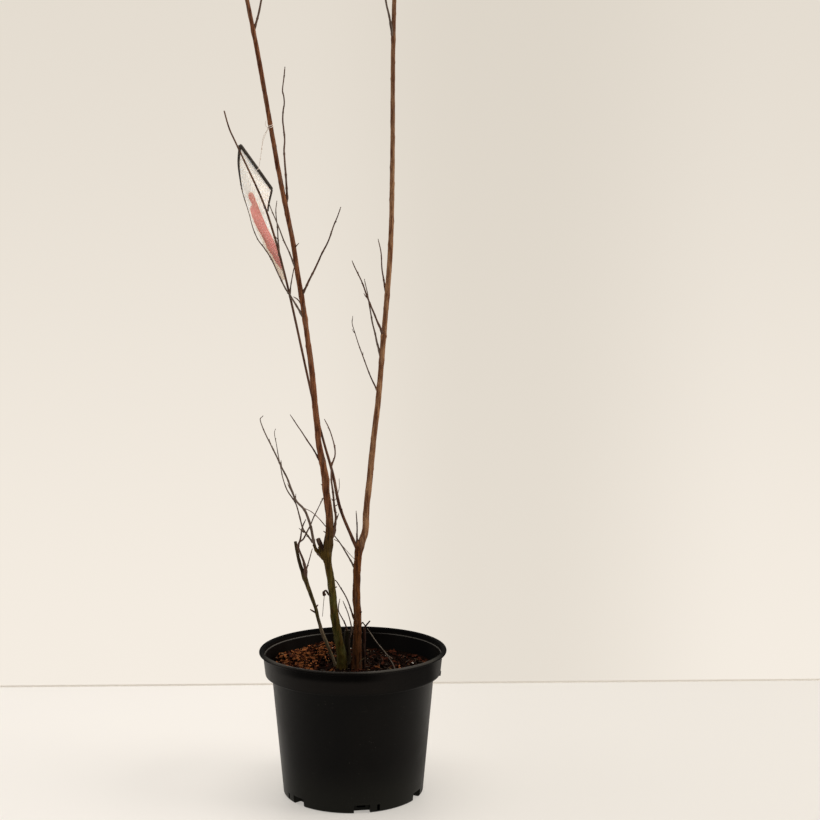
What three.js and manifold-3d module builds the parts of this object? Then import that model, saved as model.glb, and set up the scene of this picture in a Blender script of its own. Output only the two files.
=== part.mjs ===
// Potted crape myrtle in its bare winter state: a round nursery pot filled with bark
// mix, two tall stems, a long side shoot, pruned stubs and thin twigs, with a hang tag.
// Millimetres, +Z up. The origin is the centre of the pot's underside.
// +X is to the right and -Y is the front.
import * as THREE from 'three';
import { mergeVertices } from 'three/addons/utils/BufferGeometryUtils.js';
import Module from 'manifold-3d';

const wasm = await Module();
wasm.setup();

// Clearance between pieces that rest against each other.
const SEAT_GAP = 0.3;

// Pot: a tapered body, a ledge, a wider collar and a lip that rolls outwards.
const POT_HEIGHT = 168;
const BASE_RADIUS = 82.4;
const LEDGE_RADIUS = 93;
const LEDGE_HEIGHT = 139.5;
const COLLAR_FOOT_RADIUS = 101.8;
const COLLAR_TOP_RADIUS = 104.8;
const LIP_RADIUS = 109.3;
const LIP_DEPTH = 4.2;
const WALL = 1.5;
const FLOOR_THICKNESS = 2;
const POT_SEGMENTS = 60;

// Drain pockets round the foot of the pot, with a narrow slot beside each.
const POCKET_COUNT = 6;
const POCKET_WIDTH = 20;
const POCKET_HEIGHT = 8;
const POCKET_DEPTH = 16;
const POCKET_TURN_DEG = 6.6;
const DRAIN_WIDTH = 10;
const DRAIN_LOW = 3.5;
const DRAIN_HIGH = 6.5;
const SLOT_WIDTH = 2.6;
const SLOT_LOW = 1.6;
const SLOT_HIGH = 8.2;
const SLOT_TURN_DEG = 14.5;

// Potting mix: level round the stems, with a low heap at the back left.
const SOIL_LEVEL = 145;
const SOIL_EDGE_DROP = 1.2;
const HEAP_HEIGHT = 5;
const HEAP_PLACE = [-58, 34];
const HEAP_SPREAD = 26;
const SOIL_RINGS = [0, 30, 48, 66, 84];
const SOIL_SEGMENTS = 48;

// Stems and boughs. Each course is a few places on its centre line, and each taper
// gives the diameter at some heights. A knot is a swelling: height, extra, half length.
const FOOT = SOIL_LEVEL + SEAT_GAP;
const FLARE_HEIGHT = 7;
const STEM_SIDES = 8;
const STEM_STEP = 18;
const BOUGH_STEP = 14;

const LEFT_STEM = {
  course: [
    [-12, -3, FOOT], [-16, -5, 184], [-23, -7, 232], [-30, -9, 280], [-26.5, -10, 320],
    [-30, -11, 372], [-38.5, -13, 417], [-44, -17, 492], [-55, -22, 573], [-66, -26, 648],
    [-81, -32, 723], [-104, -42, 860], [-131, -53, 1000], [-158, -64, 1140], [-179, -72, 1290],
  ],
  taper: [[FOOT, 9.4], [230, 7.9], [375, 8], [415, 6.5], [590, 5.4], [915, 4.5], [1290, 1.5]],
  flare: 3,
  knots: [[284, 2.6, 15], [371, 1, 12]],
};

const RIGHT_STEM = {
  course: [
    [4.5, -6, FOOT], [5, -5, 204], [4, -4, 240], [7, -4, 284], [14.5, -3, 308],
    [16, -1, 335], [20, 1, 369], [30, 8, 462], [35, 12, 521], [44, 21, 635],
    [47, 29, 745], [48.5, 38, 870], [52, 49, 1000], [55, 60, 1125], [63, 70, 1238],
  ],
  taper: [[FOOT, 9], [204, 8.3], [306, 7.6], [335, 6.4], [462, 5.7], [915, 4.5], [1238, 1.5]],
  flare: 1.4,
  knots: [[290, 1.8, 9]],
};

const SIDE_SHOOT = {
  on: 'right_stem',
  course: [
    [6, -4, 287], [0, -4, 302], [-14, -2, 337], [-22, 0, 376], [-34, 1, 417],
    [-47, 0, 469], [-67, -8, 566], [-77, -13, 611], [-87, -17, 651], [-101, -20, 692],
    [-127, -25, 751], [-145, -28, 792],
  ],
  taper: [[287, 4.6], [337, 3.9], [417, 2.8], [566, 2.8], [692, 1.9], [792, 1.1]],
};

const STUB_STEM = {
  course: [
    [-21, 6, FOOT], [-27, 8, 165], [-38, 10, 192], [-45, 11, 217], [-58, 12, 253],
    [-64, 13, 272], [-67.5, 13, 294],
  ],
  taper: [[FOOT, 3], [192, 3.5], [217, 3.9], [245, 5.2], [272, 4.4], [294, 4.2]],
};

// Short dead pieces: a pruned stub on the left stem's fork and old cut shoots at the foot.
const PRUNED_STUB = {
  course: [[-31, -9.5, 283], [-36, -11, 291], [-39.5, -12, 301]],
  taper: [[283, 5.6], [301, 4.6]],
};
const OLD_STUMP = {
  course: [[-7, 15, FOOT], [-7.4, 15.4, 168], [-7, 16, 187]],
  taper: [[FOOT, 8.5], [187, 7]],
};
const DEAD_SHOOT = {
  course: [[12.8, 1, FOOT], [12.6, 0.6, 170], [12.9, 1, 193]],
  taper: [[FOOT, 4.2], [193, 3.4]],
};

// Twig masses. Each one starts on its limb and has one main strand. Where the plant shows
// more strands they are listed too, and the rule then adds side twigs of the given length.
const TWIG_SIDES = 3;
const TWIG_STEP = 11;
const NODE_SPACING = 27;
const LEAVING_DEG = 42;
const SHORTEST_TWIG = 3.5;
const TWIG_CLEARANCE = 1.2;

const TWIG_MASSES = [
  { name: 'fork_twigs_left', on: 'left_stem', seed: 11, side: 9, ends: [2.4, 0.9],
    strands: [
      [[-30, -9, 281], [-39, -10, 285], [-46, -14, 304], [-51, -19, 326], [-66, -26, 350],
        [-79, -34, 382], [-91, -40, 413], [-101, -45, 442], [-99, -46, 449]],
      [[-44.5, -12.6, 296], [-55, -9, 307], [-63, -2, 335], [-72, 2, 357], [-87, 9, 398],
        [-91, 12, 425]],
    ] },
  { name: 'fork_twigs_right', on: 'left_stem', seed: 12, side: 7, ends: [2.2, 0.9],
    strands: [[[-26, -10, 302], [-19, -13, 325], [-21, -16, 346], [-23, -18, 368],
      [-19, -21, 398], [-21, -24, 416], [-32, -29, 445]]] },
  { name: 'low_left_twig', on: 'left_stem', seed: 13, side: 6, ends: [2.2, 1],
    strands: [[[-36, -13, 391], [-46, -8, 407], [-57, -4, 423], [-72, 2, 444]]] },
  { name: 'long_left_twig', on: 'left_stem', seed: 14, side: 8, ends: [2.4, 0.9],
    strands: [[[-53, -21, 556], [-68, -26, 580], [-81, -33, 604], [-106, -39, 648],
      [-116, -41, 680], [-123, -42, 706]]] },
  { name: 'cross_twig', on: 'left_stem', seed: 15, side: 0, ends: [1.4, 1],
    strands: [[[-57, -21, 574], [-62, -15, 579], [-65.5, -11.5, 581]]] },
  { name: 'right_reaching_twig', on: 'left_stem', seed: 16, side: 8, ends: [1.8, 0.9],
    strands: [[[-57, -22, 582], [-44, -30, 605], [-33, -38, 628], [-24, -44, 645],
      [-10, -54, 680]]] },
  { name: 'inner_twig', on: 'left_stem', seed: 17, side: 0, ends: [1.5, 0.9],
    strands: [[[-63, -25, 615], [-73, -30, 640], [-85, -35, 670], [-92, -38, 687]]] },
  { name: 'upright_twig', on: 'left_stem', seed: 18, side: 7, ends: [1.7, 0.9],
    strands: [[[-74, -29, 688], [-73, -34, 726], [-73, -37, 753], [-75, -41, 776],
      [-74, -46, 810], [-71, -50, 834]]] },
  { name: 'shoot_twig_low', on: 'side_shoot', seed: 19, side: 0, ends: [1.3, 0.9],
    strands: [[[-71, -10, 582], [-69.5, -8, 596], [-66, -6, 616]]] },
  { name: 'shoot_twig_high', on: 'side_shoot', seed: 20, side: 0, ends: [1.3, 0.9],
    strands: [[[-82, -16, 628], [-84, -12, 655], [-86, -9, 678], [-85, -7, 690]]] },
  { name: 'fork_sprig', on: 'right_stem', seed: 21, side: 0, ends: [1.9, 0.9],
    strands: [[[7, -4, 289], [6, -2, 313], [4, 0, 331]]] },
  { name: 'right_twig_low', on: 'right_stem', seed: 22, side: 7, ends: [2, 0.9],
    strands: [[[31, 8, 468], [20, 13, 491], [10, 19, 517], [0, 25, 547], [0, 27, 558]]] },
  { name: 'right_twig_mid', on: 'right_stem', seed: 23, side: 6, ends: [2, 0.9],
    strands: [[[34, 11, 508], [26, 17, 539], [21, 22, 563], [14, 30, 601]]] },
  { name: 'right_twig_high', on: 'right_stem', seed: 24, side: 9, ends: [2.1, 1],
    strands: [[[37, 13, 540], [28, 8, 558], [21, 3, 572], [13, -3, 594], [1, -10, 622]]] },
  { name: 'right_twig_top', on: 'right_stem', seed: 25, side: 0, ends: [1.7, 0.9],
    strands: [[[40, 16, 583], [35, 22, 608], [33, 27, 633], [30, 31, 648]]] },
  { name: 'bridge_twig_high', on: 'right_stem', seed: 26, side: 5, ends: [1.6, 0.9],
    strands: [[[5.5, -4, 262], [-9, 1, 284], [-16, 7, 298], [-20, 10, 306]]] },
  { name: 'bridge_twig_low', on: 'right_stem', seed: 27, side: 5, ends: [1.6, 0.9],
    strands: [[[4.6, -5, 200], [-5, 1, 223], [-13, 8, 236], [-20, 14, 250]]] },
  { name: 'stump_twig_left', on: 'old_stump', seed: 28, side: 0, ends: [1.5, 0.9],
    strands: [[[-7, 16, 170], [-12.5, 18, 188], [-16, 20, 206], [-16, 22, 223]]] },
  { name: 'stump_twig_right', on: 'old_stump', seed: 29, side: 0, ends: [1.5, 0.9],
    strands: [[[-7, 16, 174], [-2, 13, 188], [-6, 15, 206], [-12, 18, 221]]] },
  { name: 'stub_twigs_right', on: 'stub_stem', seed: 30, side: 6, ends: [2.2, 0.9],
    strands: [
      [[-58, 12, 253], [-57, 9, 266], [-60, 7, 280], [-63, 5, 291], [-59, 2, 307],
        [-55, 0, 322]],
      [[-62.4, 5.5, 288], [-58, 1, 298], [-49, -2.5, 318], [-40, -5, 337], [-36.5, -6, 345]],
    ] },
  { name: 'left_top_twigs', on: 'left_stem', seed: 32, side: 34, ends: [2, 0.9],
    strands: [[[-105, -43, 872], [-101, -41, 895], [-98, -38, 908], [-88, -30, 965],
      [-81, -22, 1040]]] },
  { name: 'right_top_twigs', on: 'right_stem', seed: 33, side: 36, ends: [2.1, 0.9],
    strands: [[[48, 38, 880], [43, 40, 906], [38, 44, 928], [29, 50, 985], [22, 58, 1050]]] },
  { name: 'stub_twig_low', on: 'stub_stem', seed: 31, side: 0, ends: [1.3, 0.9],
    strands: [[[-57, 12, 250], [-54.5, 15, 264], [-51, 18, 276], [-49, 21, 283]]] },
];

// Thin limbs that carry no side twigs: a dry stalk that leans on the mix.
const DRY_STALK = {
  course: [[17, -5, 194], [27, -12, 181], [39, -20, 168], [47, -27, 157.5], [52.5, -31, 145.5]],
  taper: [[145, 1.6], [194, 1.3]],
};

// Crown above the last fork: twigs leave the leaders by turns, shorter towards the tips.
const GOLDEN_DEG = 137.5;
const CROWN = [
  { on: 'left_stem', count: 6, low: 944, high: 1215, first: 160, last: 78, turn: 165,
    lean: 34, seed: 51, side: 54 },
  { on: 'right_stem', count: 5, low: 948, high: 1160, first: 160, last: 80, turn: -20,
    lean: 36, seed: 61, side: 50 },
];
const CROWN_ENDS = [2, 1];
const CROWN_STRAIGHTENING = 0.45;

// Hang tag: a thin curled card under a dark bar, on a thread.
const TAG_THICKNESS = 0.5;
const TAG_LEFT_EDGE = [[-126, -13, 753], [-129, -9, 726], [-119, -5, 683], [-96, -3, 625],
  [-78, -4, 601]];
const TAG_RIGHT_EDGE = [[-91, -5, 703], [-98, 20, 680], [-95, 40, 660], [-88, 46, 634],
  [-80, 42, 600]];
const TAG_BAR_DIAMETER = 2.8;
const TAG_BAR_COURSE = [[-125, -13, 755], [-107, -9, 729.2], [-89, -4.8, 703.4]];
const TAG_ROWS = 14;
const TAG_COLUMNS = 5;
const THREAD_DIAMETER = 0.9;
const THREAD_TIE_HEIGHT = 776;
const THREAD_COURSE = [[-101, -22, 752], [-104.5, -13, 737], [-106.3, -9.5, 731.4]];
const TIE_WIDTH = 3;

const COLOURS = {
  pot: [0x1b1a19, 0.45],
  soil: [0x3b2418, 0.95],
  left_stem: [0x6b4a30, 0.8],
  right_stem: [0x83502f, 0.75],
  side_shoot: [0x74462c, 0.8],
  stub_stem: [0x5e5638, 0.85],
  old_stump: [0x5a4c2c, 0.9],
  dead_shoot: [0x3a241a, 0.9],
  dry_stalk: [0x9a8c80, 0.85],
  tag_card: [0xe8e4dc, 0.4],
  tag_bar: [0x20201f, 0.5],
  tag_thread: [0xe9e4da, 0.8],
};
const TWIG_COLOUR = [0x5d4436, 0.85];

const radians = THREE.MathUtils.degToRad;

// A repeatable row of numbers from 0 to 1.
function seeded(seed) {
  let state = seed * 7919;
  return () => {
    state = (state * 16807) % 2147483647;
    return state / 2147483647;
  };
}

function curveThrough(places) {
  const points = places.map((place) => new THREE.Vector3(...place));
  return new THREE.CatmullRomCurve3(points, false, 'catmullrom', 0.5);
}

// Value at x on straight lines between [x, value] pairs.
function between(pairs, x) {
  const last = pairs.length - 1;
  if (x <= pairs[0][0]) return pairs[0][1];
  if (x >= pairs[last][0]) return pairs[last][1];
  const i = pairs.findIndex((pair) => pair[0] > x);
  const [[x0, v0], [x1, v1]] = [pairs[i - 1], pairs[i]];
  return v0 + ((v1 - v0) * (x - x0)) / (x1 - x0);
}

// Radius of a stem or bough at a height: taper, root flare and knots.
function limbRadius(limb, z) {
  let diameter = between(limb.taper, z);
  diameter += (limb.flare ?? 0) * Math.exp(-(z - FOOT) / FLARE_HEIGHT);
  for (const [height, extra, half] of limb.knots ?? []) {
    diameter += extra * Math.exp(-(((z - height) / half) ** 2));
  }
  return diameter / 2;
}

// A joined mesh as a solid, without the flat triangles at a lathe's poles.
function toSolid(geometry) {
  const bare = geometry.clone();
  bare.deleteAttribute('normal');
  bare.deleteAttribute('uv');
  const merged = mergeVertices(bare, 1e-4);
  const corners = [];
  for (let i = 0; i < merged.index.count; i += 3) {
    const [a, b, c] = [0, 1, 2].map((k) => merged.index.getX(i + k));
    if (a !== b && b !== c && c !== a) corners.push(a, b, c);
  }
  return new wasm.Manifold(new wasm.Mesh({
    numProp: 3,
    vertProperties: new Float32Array(merged.attributes.position.array),
    triVerts: new Uint32Array(corners),
  }));
}

function toGeometry(solid) {
  const mesh = solid.getMesh();
  const geometry = new THREE.BufferGeometry();
  geometry.setAttribute('position', new THREE.BufferAttribute(mesh.vertProperties, 3));
  geometry.setIndex(new THREE.BufferAttribute(mesh.triVerts, 1));
  geometry.computeVertexNormals();
  return geometry;
}

function joined(solids) {
  return solids.reduce((all, solid) => all.add(solid));
}

// A round body from [radius, height] pairs, turned about +Z.
function turned(pairs, segments) {
  const profile = pairs.map(([radius, height]) => new THREE.Vector2(radius, height));
  return toSolid(new THREE.LatheGeometry(profile, segments).rotateX(Math.PI / 2));
}

function block(low, high, turnDeg) {
  const size = high.map((value, i) => value - low[i]);
  const middle = high.map((value, i) => (value + low[i]) / 2);
  const geometry = new THREE.BoxGeometry(...size).translate(...middle);
  return toSolid(geometry.rotateZ(radians(turnDeg)));
}

// A tapering limb: a straight lathe whose rings are set square to the curve's frames.
function taperedLimb({ frames, radiusAt, sides, flatFoot = false }) {
  const rings = frames.length - 1;
  const profile = [new THREE.Vector2(0, 0)];
  for (let i = 0; i <= rings; i += 1) profile.push(new THREE.Vector2(1, i));
  profile.push(new THREE.Vector2(0, rings));
  const geometry = new THREE.LatheGeometry(profile, sides);
  const position = geometry.attributes.position;
  for (let i = 0; i < position.count; i += 1) {
    const frame = frames[Math.round(position.getY(i))];
    const radius = radiusAt(frame);
    const place = frame.centre.clone()
      .addScaledVector(frame.normal, radius * position.getX(i))
      .addScaledVector(frame.binormal, radius * position.getZ(i));
    if (flatFoot && position.getY(i) < 0.5) place.z = frame.centre.z;
    position.setXYZ(i, place.x, place.y, place.z);
  }
  return toSolid(geometry);
}

// Centres and cross directions that turn as little as possible along the curve.
function ringFrames(curve, step, start = 0) {
  const rings = Math.max(3, Math.round((curve.getLength() * (1 - start)) / step));
  const frames = [];
  let normal = new THREE.Vector3(1, 0, 0);
  for (let i = 0; i <= rings; i += 1) {
    const u = Math.min(1, start + ((1 - start) * i) / rings);
    const tangent = curve.getTangentAt(u);
    normal = normal.clone().addScaledVector(tangent, -normal.dot(tangent)).normalize();
    const binormal = new THREE.Vector3().crossVectors(normal, tangent);
    frames.push({ u, centre: curve.getPointAt(u), tangent, normal, binormal });
  }
  return frames;
}

// Spheres about a millimetre apart that stand for a limb's space, from ring to ring.
function spaceOf(frames, radiusAt, sides) {
  const spheres = [];
  const flat = (1 + Math.cos(Math.PI / sides)) / 2;
  for (let i = 0; i + 1 < frames.length; i += 1) {
    const [a, b] = [frames[i], frames[i + 1]];
    const count = Math.ceil(a.centre.distanceTo(b.centre));
    for (let k = 0; k < count; k += 1) {
      const share = (k + 0.5) / count;
      const centre = a.centre.clone().lerp(b.centre, share);
      const radius = THREE.MathUtils.lerp(radiusAt(a), radiusAt(b), share) * flat;
      spheres.push({ centre, radius });
    }
  }
  return spheres;
}

// The nearest of a space's spheres, and how far outside it a point is.
function nearestTo(space, point) {
  let nearest = { distance: Infinity };
  for (const { centre, radius } of space) {
    const distance = centre.distanceTo(point) - radius;
    if (distance < nearest.distance) nearest = { distance, centre };
  }
  return nearest;
}

// Every limb and twig that stands already: name, curve and space.
const standing = new Map();

function stand(name, curve, space) {
  const before = standing.get(name);
  if (before) before.space.push(...space);
  else standing.set(name, { curve, space });
}

// Builds a limb or strand from u = start and keeps its space.
function grow({ name, curve, radiusAt, sides, step, start, flatFoot }) {
  const frames = ringFrames(curve, step, start);
  stand(name, curve, spaceOf(frames, radiusAt, sides));
  return taperedLimb({ frames, radiusAt, sides, flatFoot });
}

function growLimb(name, limb) {
  const curve = curveThrough(limb.course);
  const radiusAt = ({ centre }) => limbRadius(limb, centre.z);
  const carrier = standing.get(limb.on);
  const start = carrier ? clearStart(curve, carrier.space, limb.taper[0][1] / 2) : 0;
  const flatFoot = limb.course[0][2] === FOOT;
  const step = limb.taper[0][1] > 6 ? STEM_STEP : BOUGH_STEP;
  return grow({ name, curve, radiusAt, sides: STEM_SIDES, step, start, flatFoot });
}

// Where along a strand its whole end face is clear of the limb it grows on.
function clearStart(curve, space, radius) {
  const steps = Math.ceil(curve.getLength() * 5);
  for (let i = 0; i < steps; i += 1) {
    const u = i / steps;
    const point = curve.getPointAt(u);
    const { distance, centre } = nearestTo(space, point);
    const out = point.sub(centre).normalize();
    const lean = out.cross(curve.getTangentAt(u)).length();
    if (distance >= SEAT_GAP + radius * lean) return u;
  }
  return 0;
}

function strandSolid(name, places, [wide, thin], start) {
  const curve = curveThrough(places);
  const radiusAt = ({ u }) => (wide + (thin - wide) * u) / 2;
  const shape = { sides: TWIG_SIDES, step: TWIG_STEP };
  return { curve, solid: grow({ name, curve, radiusAt, start, ...shape }) };
}

function isFree(name, curve, radius) {
  const points = curve.getSpacedPoints(8).slice(3);
  for (const [owner, { space }] of standing) {
    const near = owner === name ? radius : radius + TWIG_CLEARANCE;
    if (points.some((point) => nearestTo(space, point).distance < near)) return false;
  }
  return true;
}

// Side twigs of one strand: they leave by turns at the nodes and bend upwards.
function sideTwigs({ name, strand, ends, side, random }) {
  const solids = [];
  const count = Math.floor(strand.getLength() / NODE_SPACING);
  for (let i = 0; i < count; i += 1) {
    const u = (i + 0.55 + 0.5 * random()) / (count + 0.2);
    const turn = Math.PI * i + 1.2 * (random() - 0.5);
    const length = side * (0.55 + 0.75 * random()) * (1 - 0.45 * u);
    if (length < SHORTEST_TWIG || u > 0.96) continue;
    const places = twigPlaces(strand, u, turn, length);
    const radius = (ends[0] + (ends[1] - ends[0]) * u) / 2;
    if (!isFree(name, curveThrough(places), radius)) continue;
    const twig = strandSolid(name, places, [radius * 1.5, ends[1] * 0.85], 0);
    solids.push(twig.solid);
  }
  return solids;
}

function twigPlaces(strand, u, turn, length) {
  const root = strand.getPointAt(u);
  const along = strand.getTangentAt(u);
  const across = new THREE.Vector3(0, 0, 1).cross(along).normalize();
  across.applyAxisAngle(along, turn);
  const angle = radians(LEAVING_DEG);
  const leave = along.clone().multiplyScalar(Math.cos(angle))
    .addScaledVector(across, Math.sin(angle));
  const middle = root.clone().addScaledVector(leave, length / 2);
  const rise = leave.clone().add(new THREE.Vector3(0, 0, 0.45)).normalize();
  const tip = middle.clone().addScaledVector(rise, length / 2);
  return [root, middle, tip].map((place) => place.toArray());
}

function growMass({ name, on, seed, side, ends, strands }) {
  const random = seeded(seed);
  const solids = [];
  strands.forEach((places, order) => {
    const trunk = standing.get(on).space;
    const start = order ? 0 : clearStart(curveThrough(places), trunk, ends[0] / 2);
    const width = order ? [ends[0] * 0.85, ends[1]] : ends;
    const strand = strandSolid(name, places, width, start);
    solids.push(strand.solid);
    if (side > 0) solids.push(...sideTwigs({ name, strand: strand.curve, ends, side, random }));
  });
  return joined(solids);
}

// Point of a limb's centre line at a height.
function pointAtHeight(curve, height) {
  let [low, high] = [0, 1];
  for (let i = 0; i < 40; i += 1) {
    const middle = (low + high) / 2;
    if (curve.getPointAt(middle).z < height) low = middle;
    else high = middle;
  }
  return curve.getPointAt(low);
}

// The crown's masses: one main strand each, placed round the leader by the golden angle.
function crownMasses({ on, count, low, high, first, last, turn, lean, seed, side }) {
  const random = seeded(seed);
  return Array.from({ length: count }, (unused, i) => {
    const share = i / (count - 1);
    const height = low + (high - low) * share ** 0.9;
    const length = (first + (last - first) * share) * (0.9 + 0.2 * random());
    const heading = radians(turn + GOLDEN_DEG * i);
    const root = pointAtHeight(standing.get(on).curve, height);
    const places = [root.toArray()];
    let tilt = radians(lean + 8 * (random() - 0.5));
    for (let k = 0; k < 3; k += 1) {
      const step = new THREE.Vector3(
        Math.cos(heading) * Math.sin(tilt), Math.sin(heading) * Math.sin(tilt), Math.cos(tilt),
      );
      root.addScaledVector(step, length / 3);
      places.push(root.toArray());
      tilt *= 1 - CROWN_STRAIGHTENING / 2;
    }
    const name = `${on.replace('stem', 'crown')}_twigs_${i + 1}`;
    return { name, on, seed: seed + i + 1, side, ends: CROWN_ENDS, strands: [places] };
  });
}

// Pot shell: outside from the floor up, over the lip and down the inside.
function potOutside() {
  return [
    [0, 0], [BASE_RADIUS - 1.6, 0], [BASE_RADIUS, 1.4], [LEDGE_RADIUS, LEDGE_HEIGHT],
    [COLLAR_FOOT_RADIUS, LEDGE_HEIGHT + 1.6],
    [COLLAR_TOP_RADIUS, POT_HEIGHT - LIP_DEPTH],
    [LIP_RADIUS - 0.7, POT_HEIGHT - LIP_DEPTH + 0.4],
    [LIP_RADIUS, POT_HEIGHT - LIP_DEPTH / 2],
    [LIP_RADIUS - 0.8, POT_HEIGHT - 0.5],
    [LIP_RADIUS - 2, POT_HEIGHT],
  ];
}

function potInside(gap) {
  return [
    [COLLAR_TOP_RADIUS - 0.6 - gap, POT_HEIGHT - 0.6],
    [COLLAR_TOP_RADIUS - WALL - gap, POT_HEIGHT - 2.4],
    [COLLAR_TOP_RADIUS - WALL - 0.2 - gap, POT_HEIGHT - 6.4],
    [COLLAR_TOP_RADIUS - WALL - 1 - gap, POT_HEIGHT - 7],
    [COLLAR_FOOT_RADIUS - WALL - gap, LEDGE_HEIGHT + 1.6 + WALL],
    [LEDGE_RADIUS - WALL - gap, LEDGE_HEIGHT + WALL],
    [BASE_RADIUS - WALL - gap, FLOOR_THICKNESS + gap],
    [0, FLOOR_THICKNESS + gap],
  ];
}

// A radial block at the foot of the pot: half width, depth inwards and height range.
function radialBlock(halfWidth, inner, outer, low, high, turnDeg) {
  return block([-halfWidth, -outer, low], [halfWidth, -inner, high], turnDeg);
}

function pocketTurn(i) {
  return POCKET_TURN_DEG + (360 / POCKET_COUNT) * i;
}

// The pocket housings stand inside the pot, wrapped round the pockets' space.
function pocketHousings(gap) {
  const half = POCKET_WIDTH / 2 + WALL + gap;
  const inner = BASE_RADIUS - POCKET_DEPTH - WALL - gap;
  return joined(Array.from({ length: POCKET_COUNT }, (unused, i) => radialBlock(
    half, inner, BASE_RADIUS + 2, 0, POCKET_HEIGHT + WALL + gap, pocketTurn(i),
  )));
}

function footCuts() {
  const cuts = [];
  const inner = BASE_RADIUS - POCKET_DEPTH;
  const outer = BASE_RADIUS + 5;
  for (let i = 0; i < POCKET_COUNT; i += 1) {
    const turn = pocketTurn(i);
    cuts.push(radialBlock(POCKET_WIDTH / 2, inner, outer, -1, POCKET_HEIGHT, turn));
    cuts.push(radialBlock(DRAIN_WIDTH / 2, inner - 2 * WALL, outer, DRAIN_LOW, DRAIN_HIGH, turn));
    cuts.push(radialBlock(
      SLOT_WIDTH / 2, BASE_RADIUS - 3, outer, SLOT_LOW, SLOT_HIGH, turn + SLOT_TURN_DEG,
    ));
  }
  return joined(cuts);
}

function makePot() {
  const outside = turned([...potOutside(), [0, POT_HEIGHT]], POT_SEGMENTS);
  const shell = turned([...potOutside(), ...potInside(0)], POT_SEGMENTS);
  return shell.add(outside.intersect(pocketHousings(0))).subtract(footCuts());
}

// Height of the mix's surface: level round the stems, with the heap and a dropped edge.
function soilHeight(x, y) {
  const reach = Math.hypot(x, y);
  const away = Math.hypot(x - HEAP_PLACE[0], y - HEAP_PLACE[1]) / HEAP_SPREAD;
  const level = SOIL_LEVEL - SOIL_EDGE_DROP * (reach / COLLAR_FOOT_RADIUS) ** 2;
  return reach < SOIL_RINGS[1] + 1 ? SOIL_LEVEL : level + HEAP_HEIGHT * Math.exp(-(away ** 2));
}

function makeSoil() {
  const edge = COLLAR_FOOT_RADIUS - WALL - SEAT_GAP;
  const side = potInside(SEAT_GAP).slice(5).reverse();
  const rings = [edge, ...SOIL_RINGS.slice().reverse()];
  const top = rings.map((radius) => [radius, SOIL_LEVEL]);
  const profile = [...side, [edge, LEDGE_HEIGHT + 1.6 + WALL + SEAT_GAP], ...top];
  const points = profile.map(([radius, height]) => new THREE.Vector2(radius, height));
  const geometry = new THREE.LatheGeometry(points, SOIL_SEGMENTS).rotateX(Math.PI / 2);
  const position = geometry.attributes.position;
  for (let i = 0; i < position.count; i += 1) {
    const [x, y, z] = [position.getX(i), position.getY(i), position.getZ(i)];
    if (z > SOIL_LEVEL - 0.01) position.setZ(i, soilHeight(x, y));
  }
  return toSolid(geometry).subtract(pocketHousings(SEAT_GAP));
}

// A thin sheet between two edge curves, as one closed body.
function curledSheet(leftEdge, rightEdge, thickness) {
  const [left, right] = [curveThrough(leftEdge), curveThrough(rightEdge)];
  const places = [];
  const place = (row, column) => {
    const v = THREE.MathUtils.clamp(row / TAG_ROWS, 0, 1);
    return left.getPoint(v).lerp(right.getPoint(v), column / TAG_COLUMNS);
  };
  const width = TAG_COLUMNS + 1;
  for (const face of [1, -1]) {
    for (let row = 0; row <= TAG_ROWS; row += 1) {
      for (let column = 0; column <= TAG_COLUMNS; column += 1) {
        const down = place(row + 0.01, column).sub(place(row - 0.01, column));
        const across = place(row, TAG_COLUMNS).sub(place(row, 0));
        const out = down.cross(across).normalize().multiplyScalar((face * thickness) / 2);
        places.push(...place(row, column).add(out).toArray());
      }
    }
  }
  return toSolid(closedGrid(places, TAG_ROWS + 1, width));
}

// Two facing grids of rows by columns, joined round their border.
function closedGrid(places, rows, columns) {
  const corners = [];
  const back = rows * columns;
  const quad = (a, b, c, d) => corners.push(a, b, c, a, c, d);
  for (let row = 0; row + 1 < rows; row += 1) {
    for (let column = 0; column + 1 < columns; column += 1) {
      const a = row * columns + column;
      quad(a, a + columns, a + columns + 1, a + 1);
      quad(back + a, back + a + 1, back + a + columns + 1, back + a + columns);
    }
  }
  const border = [];
  for (let column = 0; column + 1 < columns; column += 1) border.push(column);
  for (let row = 0; row + 1 < rows; row += 1) border.push(row * columns + columns - 1);
  for (let column = columns - 1; column > 0; column -= 1) border.push((rows - 1) * columns + column);
  for (let row = rows - 1; row > 0; row -= 1) border.push(row * columns);
  border.forEach((a, i) => {
    const b = border[(i + 1) % border.length];
    quad(a, b, back + b, back + a);
  });
  const geometry = new THREE.BufferGeometry();
  geometry.setAttribute('position', new THREE.Float32BufferAttribute(places, 3));
  geometry.setIndex(corners);
  return geometry;
}

// An even round bar or thread along a course.
function evenTube(course, diameter, step) {
  const frames = ringFrames(curveThrough(course), step);
  return taperedLimb({ frames, radiusAt: () => diameter / 2, sides: 6 });
}

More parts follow.
